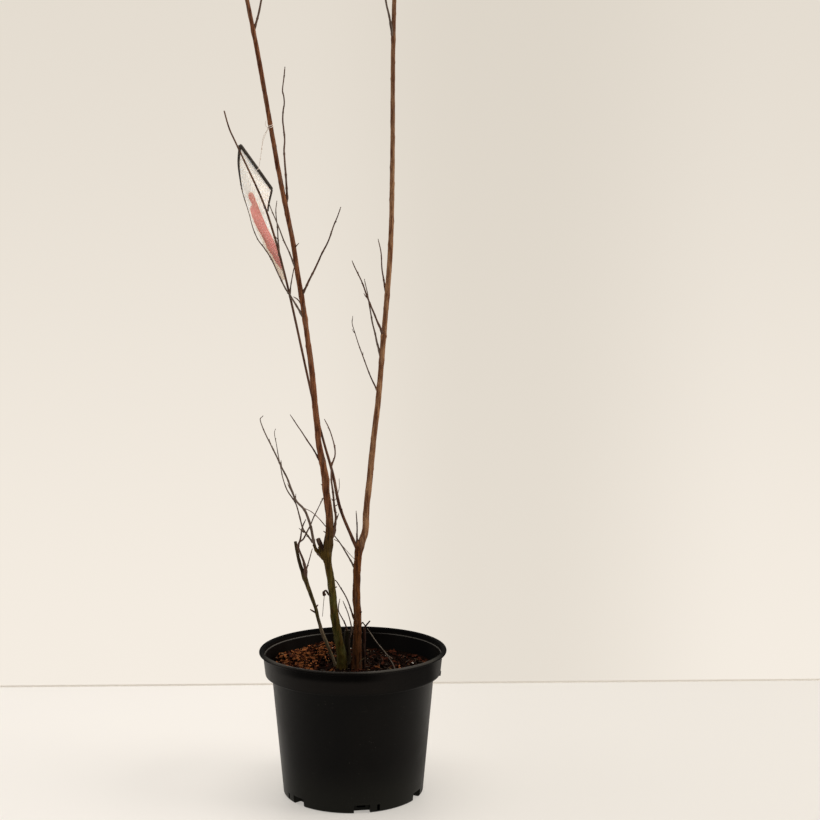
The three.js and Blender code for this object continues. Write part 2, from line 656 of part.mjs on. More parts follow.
// The thread's tie is a small collar round the left stem, clear of its bark.
function makeThread() {
  const centre = pointAtHeight(standing.get('left_stem').curve, THREAD_TIE_HEIGHT);
  const inner = limbRadius(LEFT_STEM, THREAD_TIE_HEIGHT) + SEAT_GAP + 0.15;
  const outer = inner + THREAD_DIAMETER;
  const half = TIE_WIDTH / 2;
  const profile = [[inner, -half], [outer, -half], [outer, half], [inner, half], [inner, -half]];
  const ring = new THREE.LatheGeometry(
    profile.map(([radius, height]) => new THREE.Vector2(radius, height)), 12,
  ).rotateX(Math.PI / 2);
  const leader = standing.get('left_stem').curve;
  const ahead = pointAtHeight(leader, THREAD_TIE_HEIGHT + half).sub(centre).normalize();
  const tilt = new THREE.Quaternion().setFromUnitVectors(new THREE.Vector3(0, 0, 1), ahead);
  ring.applyQuaternion(tilt).translate(centre.x, centre.y, centre.z);
  const out = new THREE.Vector3(-0.6, 0.8, 0).multiplyScalar(inner + THREAD_DIAMETER / 2);
  const drop = [centre.clone().add(out).toArray(), ...THREAD_COURSE];
  return toSolid(ring).add(evenTube(drop, THREAD_DIAMETER, 8));
}

function named(name, solid) {
  const [color, roughness] = COLOURS[name] ?? TWIG_COLOUR;
  const material = new THREE.MeshStandardMaterial({ color, roughness, metalness: 0 });
  const mesh = new THREE.Mesh(toGeometry(solid), material);
  mesh.name = name;
  return mesh;
}

function makePlant() {
  const plant = new THREE.Group();
  plant.name = 'potted_crape_myrtle';
  plant.add(named('pot', makePot()));
  plant.add(named('soil', makeSoil()));
  const leftStem = growLimb('left_stem', LEFT_STEM);
  const prunedStub = growLimb('pruned_stub', PRUNED_STUB);
  plant.add(named('left_stem', leftStem.add(prunedStub)));
  plant.add(named('right_stem', growLimb('right_stem', RIGHT_STEM)));
  plant.add(named('side_shoot', growLimb('side_shoot', SIDE_SHOOT)));
  plant.add(named('stub_stem', growLimb('stub_stem', STUB_STEM)));
  plant.add(named('old_stump', growLimb('old_stump', OLD_STUMP)));
  plant.add(named('dead_shoot', growLimb('dead_shoot', DEAD_SHOOT)));
  plant.add(named('dry_stalk', growLimb('dry_stalk', DRY_STALK)));
  const masses = [...TWIG_MASSES, ...CROWN.flatMap(crownMasses)];
  for (const mass of masses) plant.add(named(mass.name, growMass(mass)));
  const card = curledSheet(TAG_LEFT_EDGE, TAG_RIGHT_EDGE, TAG_THICKNESS);
  plant.add(named('tag_card', card));
  plant.add(named('tag_bar', evenTube(TAG_BAR_COURSE, TAG_BAR_DIAMETER, 12)));
  plant.add(named('tag_thread', makeThread()));
  return plant;
}

export default makePlant();
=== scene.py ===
"""Potted crape myrtle in its bare winter state: the finished surface of every piece.

Sizes and places are in millimetres and become metres when a mesh is built. The origin is the
centre of the pot's underside, +X is to the right, -Y is the front and +Z is up. Finishes and
the studio are in metres. A colour is written as six hexadecimal digits.
"""

import logging
import math
from collections.abc import Iterable, Sequence
from dataclasses import dataclass, field, replace
from enum import Enum
from functools import reduce

import bpy
import numpy as np
from mathutils import Matrix, Vector


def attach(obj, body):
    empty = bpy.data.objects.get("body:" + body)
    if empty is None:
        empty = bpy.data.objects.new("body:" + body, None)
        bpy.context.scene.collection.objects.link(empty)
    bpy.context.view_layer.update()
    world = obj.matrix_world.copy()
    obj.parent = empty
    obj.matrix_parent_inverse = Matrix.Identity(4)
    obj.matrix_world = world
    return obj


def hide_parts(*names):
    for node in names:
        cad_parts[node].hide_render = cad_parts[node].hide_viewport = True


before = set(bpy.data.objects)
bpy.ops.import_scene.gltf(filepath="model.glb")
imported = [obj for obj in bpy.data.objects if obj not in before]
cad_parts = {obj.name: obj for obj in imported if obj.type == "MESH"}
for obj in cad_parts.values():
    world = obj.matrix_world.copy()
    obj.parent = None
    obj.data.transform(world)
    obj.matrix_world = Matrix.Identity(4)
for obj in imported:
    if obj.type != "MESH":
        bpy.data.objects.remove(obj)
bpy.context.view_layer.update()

LOG = logging.getLogger("potted_crape_myrtle")
MM = 0.001
BODY = "root"

Place = Sequence[float]
Pair = tuple[float, float]
Route = tuple[Place, ...]
Colour = str
Array = np.ndarray
Piece = bpy.types.Object
Material = bpy.types.Material
Socket = bpy.types.NodeSocket
Input = Socket | Colour | float | Place

# Levels that several pieces share.
SOIL_LEVEL = 145.0
FOOT = 145.3
SEAT_GAP = 0.3


def shade(code: Colour) -> Place:
    """Turns a colour code into linear light.

    Args:
        code: Six hexadecimal digits, two each for red, green and blue.

    Returns:
        The linear colour with full opacity.
    """
    parts = [int(code[i:i + 2], 16) / 255 for i in (0, 2, 4)]
    linear = [p / 12.92 if p <= 0.04045 else ((p + 0.055) / 1.055) ** 2.4 for p in parts]
    return (*linear, 1.0)


def unit(rows: Array) -> Array:
    """Scales each row to a length of one."""
    return rows / np.maximum(np.linalg.norm(rows, axis=-1, keepdims=True), 1e-12)


class Draws:
    """A repeatable row of numbers from 0 to 1."""

    START = 7919
    FACTOR = 16807
    LIMIT = 2147483647

    def __init__(self, seed: int) -> None:
        """Starts the row from a small whole number."""
        self._state = seed * self.START

    def next(self) -> float:
        """Gives the next number."""
        self._state = self._state * self.FACTOR % self.LIMIT
        return self._state / self.LIMIT

    def spread(self, low: float, high: float) -> float:
        """Gives a number between low and high."""
        return low + (high - low) * self.next()


class Grain:
    """Smooth repeatable unevenness in space."""

    CELLS = 32
    LAYER_SHIFT = 7.3

    def __init__(self, seed: int) -> None:
        """Fills the lattice from a small whole number."""
        self._table = np.random.default_rng(seed).random((self.CELLS,) * 3) * 2 - 1

    def at(self, places: Array, size: Place) -> Array:
        """Reads the unevenness.

        Args:
            places: Points as rows, in millimetres.
            size: Size of one cell along X, Y and Z.

        Returns:
            A value from -1 to 1 for each point.
        """
        scaled = places / np.array(size, float)
        cell = np.floor(scaled).astype(int)
        part = scaled - cell
        part = part * part * (3 - 2 * part)
        total = np.zeros(places.shape[:-1])
        for corner in np.ndindex(2, 2, 2):
            share = np.prod(np.where(np.array(corner) == 1, part, 1 - part), axis=-1)
            x, y, z = np.moveaxis((cell + np.array(corner)) % self.CELLS, -1, 0)
            total += share * self._table[x, y, z]
        return total

    def layered(self, places: Array, size: Place, layers: int) -> Array:
        """Adds finer layers of half the size and half the height.

        Args:
            places: Points as rows, in millimetres.
            size: Size of one cell of the coarsest layer.
            layers: How many layers there are.

        Returns:
            A value of about -1 to 1 for each point.
        """
        total = np.zeros(places.shape[:-1])
        for layer in range(layers):
            shifted = places + self.LAYER_SHIFT * layer
            total += self.at(shifted, np.array(size) / 2 ** layer) / 2 ** layer
        return total / (2 - 0.5 ** (layers - 1))


class Course:
    """A smooth line through a few places, walked by its length."""

    STEPS = 200
    HALVINGS = 40

    def __init__(self, places: Iterable[Place]) -> None:
        """Measures the line.

        Args:
            places: Points that the line passes through.
        """
        self.places = np.array(list(places), float)
        before = 2 * self.places[0] - self.places[1]
        after = 2 * self.places[-1] - self.places[-2]
        self._held = np.vstack([before, self.places, after])
        self._marks = np.linspace(0, 1, self.STEPS + 1)
        walked = np.linalg.norm(np.diff(self.raw(self._marks), axis=0), axis=1)
        self._walked = np.concatenate([[0], np.cumsum(walked)])
        self.length = float(self._walked[-1])

    def raw(self, marks: Array) -> Array:
        """Points at even shares of the places' order, not of the length.

        Args:
            marks: Shares from 0 to 1.

        Returns:
            Points as rows.
        """
        spans = len(self.places) - 1
        run = np.clip(np.asarray(marks, float), 0, 1) * spans
        i = np.minimum(np.floor(run).astype(int), spans - 1)
        w = (run - i)[:, None]
        p0, p1, p2, p3 = (self._held[i + k] for k in range(4))
        t0, t1 = (p2 - p0) / 2, (p3 - p1) / 2
        return (p1 + t0 * w + (3 * (p2 - p1) - 2 * t0 - t1) * w ** 2
                + (2 * (p1 - p2) + t0 + t1) * w ** 3)

    def _share(self, u: Array) -> Array:
        """Turns shares of the length into shares of the order."""
        return np.interp(np.asarray(u, float) * self.length, self._walked, self._marks)

    def at(self, u: Array) -> Array:
        """Points as rows, at shares of the length."""
        return self.raw(self._share(u))

    def along(self, u: Array) -> Array:
        """Unit directions as rows, at shares of the length."""
        mark = self._share(u)
        return unit(self.raw(mark + 1e-4) - self.raw(mark - 1e-4))

    def spot(self, u: float) -> Array:
        """The single point at a share of the length."""
        return self.at(np.array([u]))[0]

    def heading(self, u: float) -> Array:
        """The single direction at a share of the length."""
        return self.along(np.array([u]))[0]

    def at_height(self, height: float) -> float:
        """Finds where a rising line reaches a height.

        Args:
            height: The height in millimetres.

        Returns:
            The share of the length.
        """
        low, high = 0.0, 1.0
        for _ in range(self.HALVINGS):
            middle = (low + high) / 2
            if self.spot(middle)[2] < height:
                low = middle
            else:
                high = middle
        return low


@dataclass
class Rings:
    """Centres of a tube's rings with their cross directions."""

    u: Array
    centres: Array
    normals: Array
    binormals: Array
    tangents: Array

    @classmethod
    def on(cls, course: Course, count: int, start: float = 0.0) -> "Rings":
        """Sets even rings on a course, turning as little as possible.

        Args:
            course: The centre line.
            count: How many spans there are between rings.
            start: Share of the length where the first ring stands.

        Returns:
            The rings.
        """
        u = np.linspace(start, 1.0, count + 1)
        tangents = course.along(u)
        normals = np.zeros_like(tangents)
        normal = np.array([1.0, 0.0, 0.0])
        for i, tangent in enumerate(tangents):
            normal = normal - tangent * float(normal @ tangent)
            normal = normal / np.linalg.norm(normal)
            normals[i] = normal
        return cls(u, course.at(u), normals, np.cross(tangents, normals), tangents)

    @property
    def walked(self) -> Array:
        """Distance from the first ring to each ring."""
        steps = np.linalg.norm(np.diff(self.centres, axis=0), axis=1)
        return np.concatenate([[0], np.cumsum(steps)])

    def surface(self, radii: Array) -> Array:
        """Places points round each ring.

        Args:
            radii: One radius for each ring and side.

        Returns:
            Points by ring and side.
        """
        turn = np.linspace(0, 2 * math.pi, radii.shape[1], endpoint=False)
        out = (self.normals[:, None, :] * np.cos(turn)[None, :, None]
               + self.binormals[:, None, :] * np.sin(turn)[None, :, None])
        return self.centres[:, None, :] + out * radii[:, :, None]

    def tube(self, radii: Array, sides: int) -> Array:
        """Places a number of points round each ring, all at that ring's radius."""
        return self.surface(np.tile(radii[:, None], (1, sides)))

    def cone(self, wide: float, thin: float) -> Array:
        """Radii that run evenly from one diameter to another."""
        return (wide + (thin - wide) * self.u) / 2


class Pile:
    """Points and faces that are gathered into one mesh."""

    def __init__(self) -> None:
        """Starts empty."""
        self._places: list[Array] = []
        self._faces: list[list[int]] = []
        self._values: dict[str, list[Array]] = {}
        self._count = 0

    def add(self, places: Array, faces: Iterable[Sequence[int]], **values: Array) -> None:
        """Adds points and the faces between them.

        Args:
            places: Points as rows, in millimetres.
            faces: Point numbers of each face, counted from this call's first point.
            **values: Named numbers, one for each point.
        """
        base = self._count
        self._places.append(places)
        self._faces.extend([base + i for i in face] for face in faces)
        for name, numbers in values.items():
            self._values.setdefault(name, []).append(numbers)
        self._count += len(places)

    def add_grid(self, surface: Array) -> None:
        """Adds rings that close on themselves, with a fan over each end.

        Args:
            surface: Points by ring and side.
        """
        rings, sides = surface.shape[:2]
        last, hub = (rings - 1) * sides, rings * sides
        pairs = [(j, (j + 1) % sides) for j in range(sides)]
        faces = [(i + a, i + b, i + sides + b, i + sides + a)
                 for i in range(0, last, sides) for a, b in pairs]
        faces += [(hub, b, a) for a, b in pairs]
        faces += [(hub + 1, last + a, last + b) for a, b in pairs]
        ends = [surface[0].mean(axis=0), surface[-1].mean(axis=0)]
        self.add(np.vstack([surface.reshape(-1, 3), *ends]), faces)

    def build(self, name: str, smooth: bool = True, sharp_deg: float = 0.0) -> Piece:
        """Makes the object in metres.

        Args:
            name: The piece's name.
            smooth: Whether the faces are shaded as one smooth surface.
            sharp_deg: Angle over which an edge stays sharp, or 0 for none.

        Returns:
            The object, linked to the scene.
        """
        mesh = bpy.data.meshes.new(name)
        mesh.from_pydata((np.vstack(self._places) * MM).tolist(), [], self._faces)
        for title, numbers in self._values.items():
            attribute = mesh.attributes.new(title, "FLOAT", "POINT")
            attribute.data.foreach_set("value", np.concatenate(numbers).astype(np.float32))
        mesh.polygons.foreach_set("use_smooth", [smooth] * len(mesh.polygons))
        if sharp_deg:
            mesh.set_sharp_from_angle(angle=math.radians(sharp_deg))
        piece = bpy.data.objects.new(name, mesh)
        bpy.context.scene.collection.objects.link(piece)
        return piece


def present(piece: Piece, finish: Material, nodes: Sequence[str] = ()) -> None:
    """Dresses a piece, ties it to the plant's body and reports it.

    Args:
        piece: The finished object.
        finish: Its material.
        nodes: Construction nodes that the piece replaces.
    """
    piece.data.materials.clear()
    piece.data.materials.append(finish)
    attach(piece, BODY)
    if nodes:
        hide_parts(*nodes)
    LOG.info("%s: %d faces", piece.name, len(piece.data.polygons))


class Graph:
    """The shader nodes of one finish. Its cells are counted for each metre."""

    MIX_SHARE = 0
    MIX_FIRST = 6
    MIX_SECOND = 7
    MIX_COLOUR = 2

    def __init__(self, name: str) -> None:
        """Makes a material with its shader.

        Args:
            name: The material's name.
        """
        self.material = bpy.data.materials.new(name)
        self.material.use_nodes = True
        self._tree = self.material.node_tree
        self._place = self._node("TexCoord", {}).outputs["Object"]

    def _feed(self, node: bpy.types.Node, inputs: dict[str | int, Input]) -> None:
        """Links a node's sockets or sets their values.

        Args:
            node: The node.
            inputs: What each socket takes, by the socket's name or number.
        """
        for name, value in inputs.items():
            if isinstance(value, Socket):
                self._tree.links.new(value, node.inputs[name])
            else:
                plain = shade(value) if isinstance(value, Colour) else value
                node.inputs[name].default_value = plain

    def _node(self, kind: str, inputs: dict[str | int, Input],
              **settings: str) -> bpy.types.Node:
        """Adds a node.

        Args:
            kind: The end of its type's name.
            inputs: What each socket takes, by the socket's name or number.
            **settings: The node's own choices among named options.

        Returns:
            The node.
        """
        node = self._tree.nodes.new(f"ShaderNode{kind}")
        for name, setting in settings.items():
            setattr(node, name, setting)
        self._feed(node, inputs)
        return node

    def _stretched(self, cells: Place, turn: Place = (0, 0, 0)) -> Socket:
        """The object's own coordinates, counted in cells along X, Y and Z, and turned."""
        inputs = {"Vector": self._place, "Scale": cells, "Rotation": turn}
        return self._node("Mapping", inputs).outputs["Vector"]

    def noise(self, cells: Place, detail: float = 4.0, rough: float = 0.55, twist: float = 0.0,
              turn: Place = (0, 0, 0)) -> Socket:
        """Uneven values of about 0 to 1, with finer layers and how strong and drawn out they are."""
        inputs = {"Vector": self._stretched(cells, turn), "Scale": 1.0, "Detail": detail,
                  "Roughness": rough, "Distortion": twist}
        return self._node("TexNoise", inputs).outputs["Fac"]

    def cells(self, cells: Place) -> Socket:
        """The distance to the middle of the nearest scattered cell."""
        inputs = {"Vector": self._stretched(cells), "Scale": 1.0}
        return self._node("TexVoronoi", inputs).outputs["Distance"]

    def axis(self, letter: str = "Z") -> Socket:
        """The distance in metres along X, Y or Z."""
        return self._node("SeparateXYZ", {"Vector": self._place}).outputs[letter]

    def value(self, name: str) -> Socket:
        """A number that the mesh holds for each point."""
        return self._node("Attribute", {}, attribute_name=name).outputs["Fac"]

    def fade(self, value: Input, low: float, high: float, first: float = 0.0,
             last: float = 1.0) -> Socket:
        """Runs smoothly from a first number, where the value is low, to a last one."""
        inputs = {"Value": value, "From Min": low, "From Max": high, "To Min": first,
                  "To Max": last}
        return self._node("MapRange", inputs, interpolation_type="SMOOTHSTEP").outputs["Result"]

    def math(self, kind: str, first: Input, second: Input = 0.0) -> Socket:
        """Works out one number from two by the operation's name."""
        return self._node("Math", {0: first, 1: second}, operation=kind).outputs["Value"]

    def times(self, *numbers: Input) -> Socket:
        """The product of two or more numbers."""
        return reduce(lambda first, second: self.math("MULTIPLY", first, second), numbers)

    def ridge(self, value: Input, rise: Pair, fall: Pair, height: float = 1.0) -> Socket:
        """Runs smoothly from 0 up to a height and down to 0 again."""
        return self.times(self.fade(value, *rise, 0, height), self.fade(value, *fall, 1, 0))

    def blend(self, share: Input, first: Input, second: Input) -> Socket:
        """Mixes two colours, by the second one's share."""
        inputs = {self.MIX_SHARE: share, self.MIX_FIRST: first, self.MIX_SECOND: second}
        return self._node("Mix", inputs, data_type="RGBA").outputs[self.MIX_COLOUR]

    def bump(self, height: Input, depth: float, under: Socket | None = None) -> Socket:
        """Lets light fall as on a relief of a depth in metres, on top of another if there is one."""
        inputs = {"Strength": 1.0, "Distance": depth, "Height": height}
        below = {} if under is None else {"Normal": under}
        return self._node("Bump", inputs | below).outputs["Normal"]

    def finish(self, **inputs: Input) -> Material:
        """Feeds the shader's sockets, named with _ for each space, and gives the material."""
        named = {name.replace("_", " "): value for name, value in inputs.items()}
        self._feed(self._tree.nodes["Principled BSDF"], named)
        return self.material


@dataclass(frozen=True)
class PotPlastic:
    """Near-black nursery plastic with dull scuffs, painted shade and highlights at the lip, and painted
    floor light towards the foot.
    """

    dark: Colour = "050403"
    worn: Colour = "0d0b09"
    dust: Colour = "3d3a34"
    film: Colour = "2b211b"
    bounce_light: Colour = "23231e"
    black: Colour = "020202"
    painted_highlight: Colour = "77736c"
    dusty: float = 0.12
    collar: float = 0.141
    lip: Pair = (0.1678, 0.1688)
    rough: float = 0.42

    def make(self) -> Material:
        """Builds the finish.

        Returns:
            The material.
        """
        graph = Graph("pot_plastic")
        cloud = graph.noise((14, 14, 9), 5, 0.6, 0.4)
        flow = graph.noise((90, 90, 900), 3, 0.5)
        fine = graph.noise((1500, 1500, 1500), 2)
        colour = graph.blend(graph.fade(cloud, 0.42, 0.7), self.dark, self.worn)
        speck = graph.fade(graph.cells((210, 210, 260)), 0.1, 0.17, 1, 0)
        rare = graph.fade(graph.noise((38, 38, 38), 2), 0.58, 0.66)
        scuff = graph.fade(graph.noise((60, 60, 420), 6, 0.7, turn=(0.2, 0.1, 0)), 0.6, 0.72)
        marks = graph.math("ADD", graph.times(speck, rare, 0.55),
                           graph.times(scuff, graph.fade(cloud, 0.5, 0.62), 0.22))
        colour = graph.blend(marks, colour, self.dust)
        rough = graph.math("ADD", graph.fade(cloud, 0.35, 0.7, self.rough - 0.05, self.rough + 0.1),
                           graph.times(marks, 0.25))
        dusty = graph.fade(graph.axis(), self.collar, self.collar + 0.004, 0, self.dusty)
        colour = graph.blend(dusty, colour, self.film)
        # Painted light bounced up from the floor: the pot is lighter towards the foot.
        bounce_light_share = graph.fade(graph.axis(), 0.0, 0.06, 0.6, 0)
        colour = graph.blend(bounce_light_share, colour, self.bounce_light)
        # Painted shade: the back of the lip, the strip under the lip at the front and the collar's right
        # side are blackened and made rougher.
        shaded = self._shaded(graph)
        colour = graph.blend(shaded, colour, self.black)
        rough = graph.math("ADD", rough, graph.times(shaded, 0.6))
        # Painted highlight along the ledge inside the lip.
        colour = graph.blend(self._ledge_highlight(graph), colour, self.painted_highlight)
        # Painted highlight along the front of the lip.
        colour = graph.blend(self._lip_highlight(graph), colour, self.painted_highlight)
        relief = graph.bump(flow, 0.00006, graph.bump(fine, 0.00004))
        return graph.finish(Base_Color=colour, Roughness=rough, Normal=relief,
                            Specular_IOR_Level=0.08)

    def _shaded(self, graph: Graph) -> Socket:
        """How much painted shade blackens the lip, the strip under it and the collar's right side.

        Args:
            graph: The finish under way.

        Returns:
            The share of painted black shade.
        """
        x, y, z = (graph.axis(letter) for letter in "XYZ")
        lip = graph.times(graph.fade(z, 0.1655, 0.168, 0, 0.95), graph.fade(y, -0.085, -0.05))
        side = graph.times(graph.fade(x, 0.03, 0.09, 0, 0.7),
                           graph.fade(z, self.collar, self.collar + 0.003),
                           graph.fade(x, 0.088, 0.1, 1, 0.3))
        aside = graph.math("ABSOLUTE", graph.math("ADD", x, 0.02))
        under = graph.times(graph.ridge(z, (0.154, 0.16), self.lip, 0.8),
                            graph.fade(y, -0.07, -0.03, 1, 0), graph.fade(aside, 0.03, 0.075, 1, 0))
        return graph.math("MAXIMUM", under, graph.math("MAXIMUM", lip, side))

    def _lip_highlight(self, graph: Graph) -> Socket:
        """How much painted highlight lies along the front of the lip.

        Args:
            graph: The finish under way.

        Returns:
            The share of the painted highlight.
        """
        front = graph.fade(graph.axis("Y"), -0.07, -0.02, 0.2, 0)
        aside = graph.math("ABSOLUTE", graph.math("ADD", graph.axis("X"), 0.03))
        level = graph.times(graph.fade(graph.axis(), *self.lip),
                            graph.fade(aside, 0.03, 0.06, 0.1, 1))
        return graph.times(front, level)

    def _ledge_highlight(self, graph: Graph) -> Socket:
        """How much painted highlight lies along the ledge inside the lip.

        Args:
            graph: The finish under way.

        Returns:
            The share of the painted highlight.
        """
        x, y, z = (graph.axis(letter) for letter in "XYZ")
        apart = graph.math("ADD", graph.times(x, x), graph.times(y, y))
        level = graph.ridge(z, (0.1628, 0.1631), (0.1636, 0.1639))
        inner = graph.fade(apart, 0.01088, 0.01094, 1, 0)
        share = graph.times(graph.fade(graph.math("ABSOLUTE", x), 0.02, 0.06, 0, 0.5),
                            graph.fade(y, -0.035, 0.0))
        return graph.times(graph.times(level, inner), share)


@dataclass(frozen=True)
class Crumbs:
    """Damp potting mix or one kind of bark chip, dealt out in plain tones."""

    name: str
    dark: Colour
    light: Colour
    cell: float = 260.0

    def make(self) -> Material:
        """Builds the finish.

        Returns:
            The material.
        """
        graph = Graph(self.name)
        coarse = graph.noise((self.cell,) * 3, 5, 0.65)
        fibre = graph.noise((self.cell * 5,) * 3, 3)
        colour = graph.blend(graph.fade(coarse, 0.32, 0.68), self.dark, self.light)
        relief = graph.bump(fibre, 0.00025, graph.bump(coarse, 0.0006))
        return graph.finish(Base_Color=colour, Roughness=0.9, Normal=relief,
                            Specular_IOR_Level=0.03)


@dataclass(frozen=True)
class Bark:
    """Bark that runs from one pair of tones at the foot to another further up."""

    name: str
    slot: str
    foot_dark: Colour
    foot_light: Colour
    top_dark: Colour
    top_light: Colour
    change: Pair = (0.27, 0.31)
    moss: Colour = "46501d"
    moss_share: float = 0.0
    moss_top: float = 0.3
    pale: Colour = "8a7866"
    pale_share: float = 0.22
    foot_shade: Colour = "1c130a"
    foot_shade_share: float = 0.6
    foot_shade_span: Pair = (0.15, 0.235)
    high: Colour = "3a1a0c"
    high_share: float = 0.0
    high_span: Pair = (0.64, 0.85)
    fork: Colour = "1a1208"
    fork_share: float = 0.0
    fork_rise: Pair = (0.283, 0.292)
    fork_fall: Pair = (0.302, 0.332)
    scale: float = 1.0

    def make(self) -> Material:
        """Builds the finish.

        Returns:
            The material.
        """
        graph = Graph(self.name)
        wide, tall = 420 * self.scale, 46 * self.scale
        strips = graph.noise((wide, wide, tall), 6, 0.62, 0.25)
        patches = graph.noise((150, 150, 34), 4, 0.6, 0.6)
        fine = graph.noise((1700, 1700, 260), 4, 0.6)
        height = graph.axis()
        climb = graph.fade(height, *self.change)
        dark = graph.blend(climb, self.foot_dark, self.top_dark)
        light = graph.blend(climb, self.foot_light, self.top_light)
        colour = graph.blend(graph.fade(strips, 0.34, 0.66), dark, light)
        flakes = graph.times(graph.fade(patches, 0.56, 0.64), self.pale_share)
        colour = graph.blend(flakes, colour, self.pale)
        if self.moss_share:
            low = graph.fade(height, self.moss_top - 0.06, self.moss_top, 1, 0)
            grown = graph.times(low, graph.fade(patches, 0.36, 0.58), self.moss_share)
            colour = graph.blend(grown, colour, self.moss)
        # Painted shade: the stems darken towards the foot, where the pot shades them.
        low = graph.fade(height, *self.foot_shade_span, self.foot_shade_share, 0)
        colour = graph.blend(low, colour, self.foot_shade)
        if self.fork_share:
            near = graph.ridge(height, self.fork_rise, self.fork_fall, self.fork_share)
            colour = graph.blend(near, colour, self.fork)
        above = graph.fade(height, *self.high_span, 0, self.high_share)
        colour = graph.blend(above, colour, self.high)
        relief = graph.bump(fine, 0.00012, graph.bump(strips, 0.0004))
        return graph.finish(Base_Color=colour, Roughness=0.72, Normal=relief,
                            Specular_IOR_Level=0.12)


@dataclass(frozen=True)
class Plain:
    """A quiet finish with a little unevenness, for the tag, thread, buds and small wood."""

    name: str
    colour: Colour
    other: Colour
    cell: float = 300.0
    rough: float = 0.6
    specular: float = 0.4

    def make(self) -> Material:
        """Builds the finish.

        Returns:
            The material.
        """
        graph = Graph(self.name)
        uneven = graph.noise((self.cell,) * 3, 4, 0.6)
        colour = graph.blend(graph.fade(uneven, 0.35, 0.65), self.colour, self.other)
        return graph.finish(Base_Color=colour, Roughness=self.rough,
                            Normal=graph.bump(uneven, 0.0001), Specular_IOR_Level=self.specular)


@dataclass(frozen=True)
class TagCard:
    """Pale card that lets some light through, with one soft band of pink down one side."""

    base: Colour = "f3ede3"
    low: Colour = "95897c"
    pink: Colour = "b56563"
    deep: Colour = "74322d"
    leaf: Colour = "7d8070"

    def make(self) -> Material:
        """Builds the finish from the card's own band and down shares.

        Returns:
            The material.
        """
        graph = Graph("tag_card")
        down = graph.value("down")
        stir = graph.noise((160, 160, 160), 3)
        edge = graph.math("ADD", graph.value("band"), graph.times(stir, 0.1))
        tone = graph.blend(graph.fade(down, 0.5, 0.86), self.pink, self.deep)
        rim = graph.times(graph.fade(graph.value("inset"), 0.05, 0.4, 1, 0),
                          graph.fade(down, 0.5, 0.68))
        tone = graph.blend(rim, tone, self.deep)
        tone = graph.blend(graph.fade(down, 0.86, 0.93), tone, self.leaf)
        # Painted shade: the lower part of the card is darker.
        card = graph.blend(graph.fade(down, 0.45, 0.75), self.base, self.low)
        colour = graph.blend(graph.fade(edge, 0.045, 0.1), card, tone)
        return graph.finish(Base_Color=colour, Roughness=0.5, Specular_IOR_Level=0.3,
                            Subsurface_Weight=1.0, Subsurface_Radius=(1.0, 0.9, 0.8),
                            Subsurface_Scale=0.004)


@dataclass(frozen=True)
class Relief:
    """Depths of a bark's relief in millimetres."""

    furrow: float
    flake: float
    scar: float


@dataclass(frozen=True)
class Limb:
    """A stem or bough: its centre line, its diameters by height, its bark and swellings."""

    name: str
    course: Route
    taper: tuple[Pair, ...]
    bark: str
    relief: Relief
    flare: float = 0.0
    knots: tuple[Place, ...] = ()
    on: str = ""
    part_of: str = ""

    FLARE_HEIGHT = 7.0

    def radius(self, heights: Array) -> Array:
        """Radius at each height: taper, root flare and knots.

        Args:
            heights: Heights in millimetres.

        Returns:
            The radii.
        """
        levels, widths = zip(*self.taper)
        diameter = np.interp(heights, levels, widths)
        diameter = diameter + self.flare * np.exp(-(heights - FOOT) / self.FLARE_HEIGHT)
        for level, extra, half in self.knots:
            diameter = diameter + extra * np.exp(-((heights - level) / half) ** 2)
        return diameter / 2


LEFT_STEM = Limb(
    "left_stem",
    ((-12.4, -3, FOOT), (-13.4, -3.2, 160), (-17.3, -4.4, 185), (-20.4, -5.4, 203), (-22, -6.2, 218),
     (-23.6, -7, 235), (-25.1, -7.6, 250), (-29.6, -9, 279), (-27.6, -9.5, 296), (-26.5, -10, 325),
     (-30.1, -11, 356), (-31, -11.3, 373), (-36.2, -12.4, 401), (-39, -13, 417), (-39.8, -14, 434),
     (-42.3, -15.5, 458), (-44.9, -17, 492), (-49.3, -19.2, 528), (-55, -22, 573), (-61, -24.2, 611),
     (-66.3, -26, 648), (-80.7, -32, 723), (-103.6, -42, 860), (-131, -53, 1000), (-158, -64, 1140),
     (-179, -72, 1290)),
    ((FOOT, 12.2), (160, 11.8), (172, 10.7), (200, 9.8), (220, 9.2), (240, 8.8), (265, 8.7), (310, 9),
     (345, 8.7), (375, 8.2), (398, 7.6), (415, 6.9), (430, 7.3), (470, 6.8), (520, 6.3), (590, 5.7),
     (700, 5.3), (915, 4.75), (1290, 1.5)),
    "mossy", Relief(0.5, 0.34, 0.55), flare=1.2, knots=((291, 3, 11), (371, 1, 12)),
)
RIGHT_STEM = Limb(
    "right_stem",
    ((4.5, -6, FOOT), (5.4, -5, 204), (4.4, -4, 240), (7, -4, 284), (14.5, -3, 308), (16.2, -1, 335),
     (19.9, 1, 369), (24.3, 4.4, 414), (30, 8, 462), (35, 12, 521), (44, 21, 635), (46.6, 29, 745),
     (47.4, 38, 870), (51, 49, 1000), (55, 60, 1125), (63, 70, 1238)),
    ((FOOT, 11.6), (165, 11.2), (180, 10), (196, 9.3), (245, 8.9), (306, 8), (335, 7.4), (440, 6.8),
     (505, 6.1), (560, 6.1), (660, 5.8), (720, 5.4), (915, 5), (1238, 1.5)),
    "red_brown", Relief(0.42, 0.26, 0.6), flare=1, knots=((290, 1.8, 9),),
)
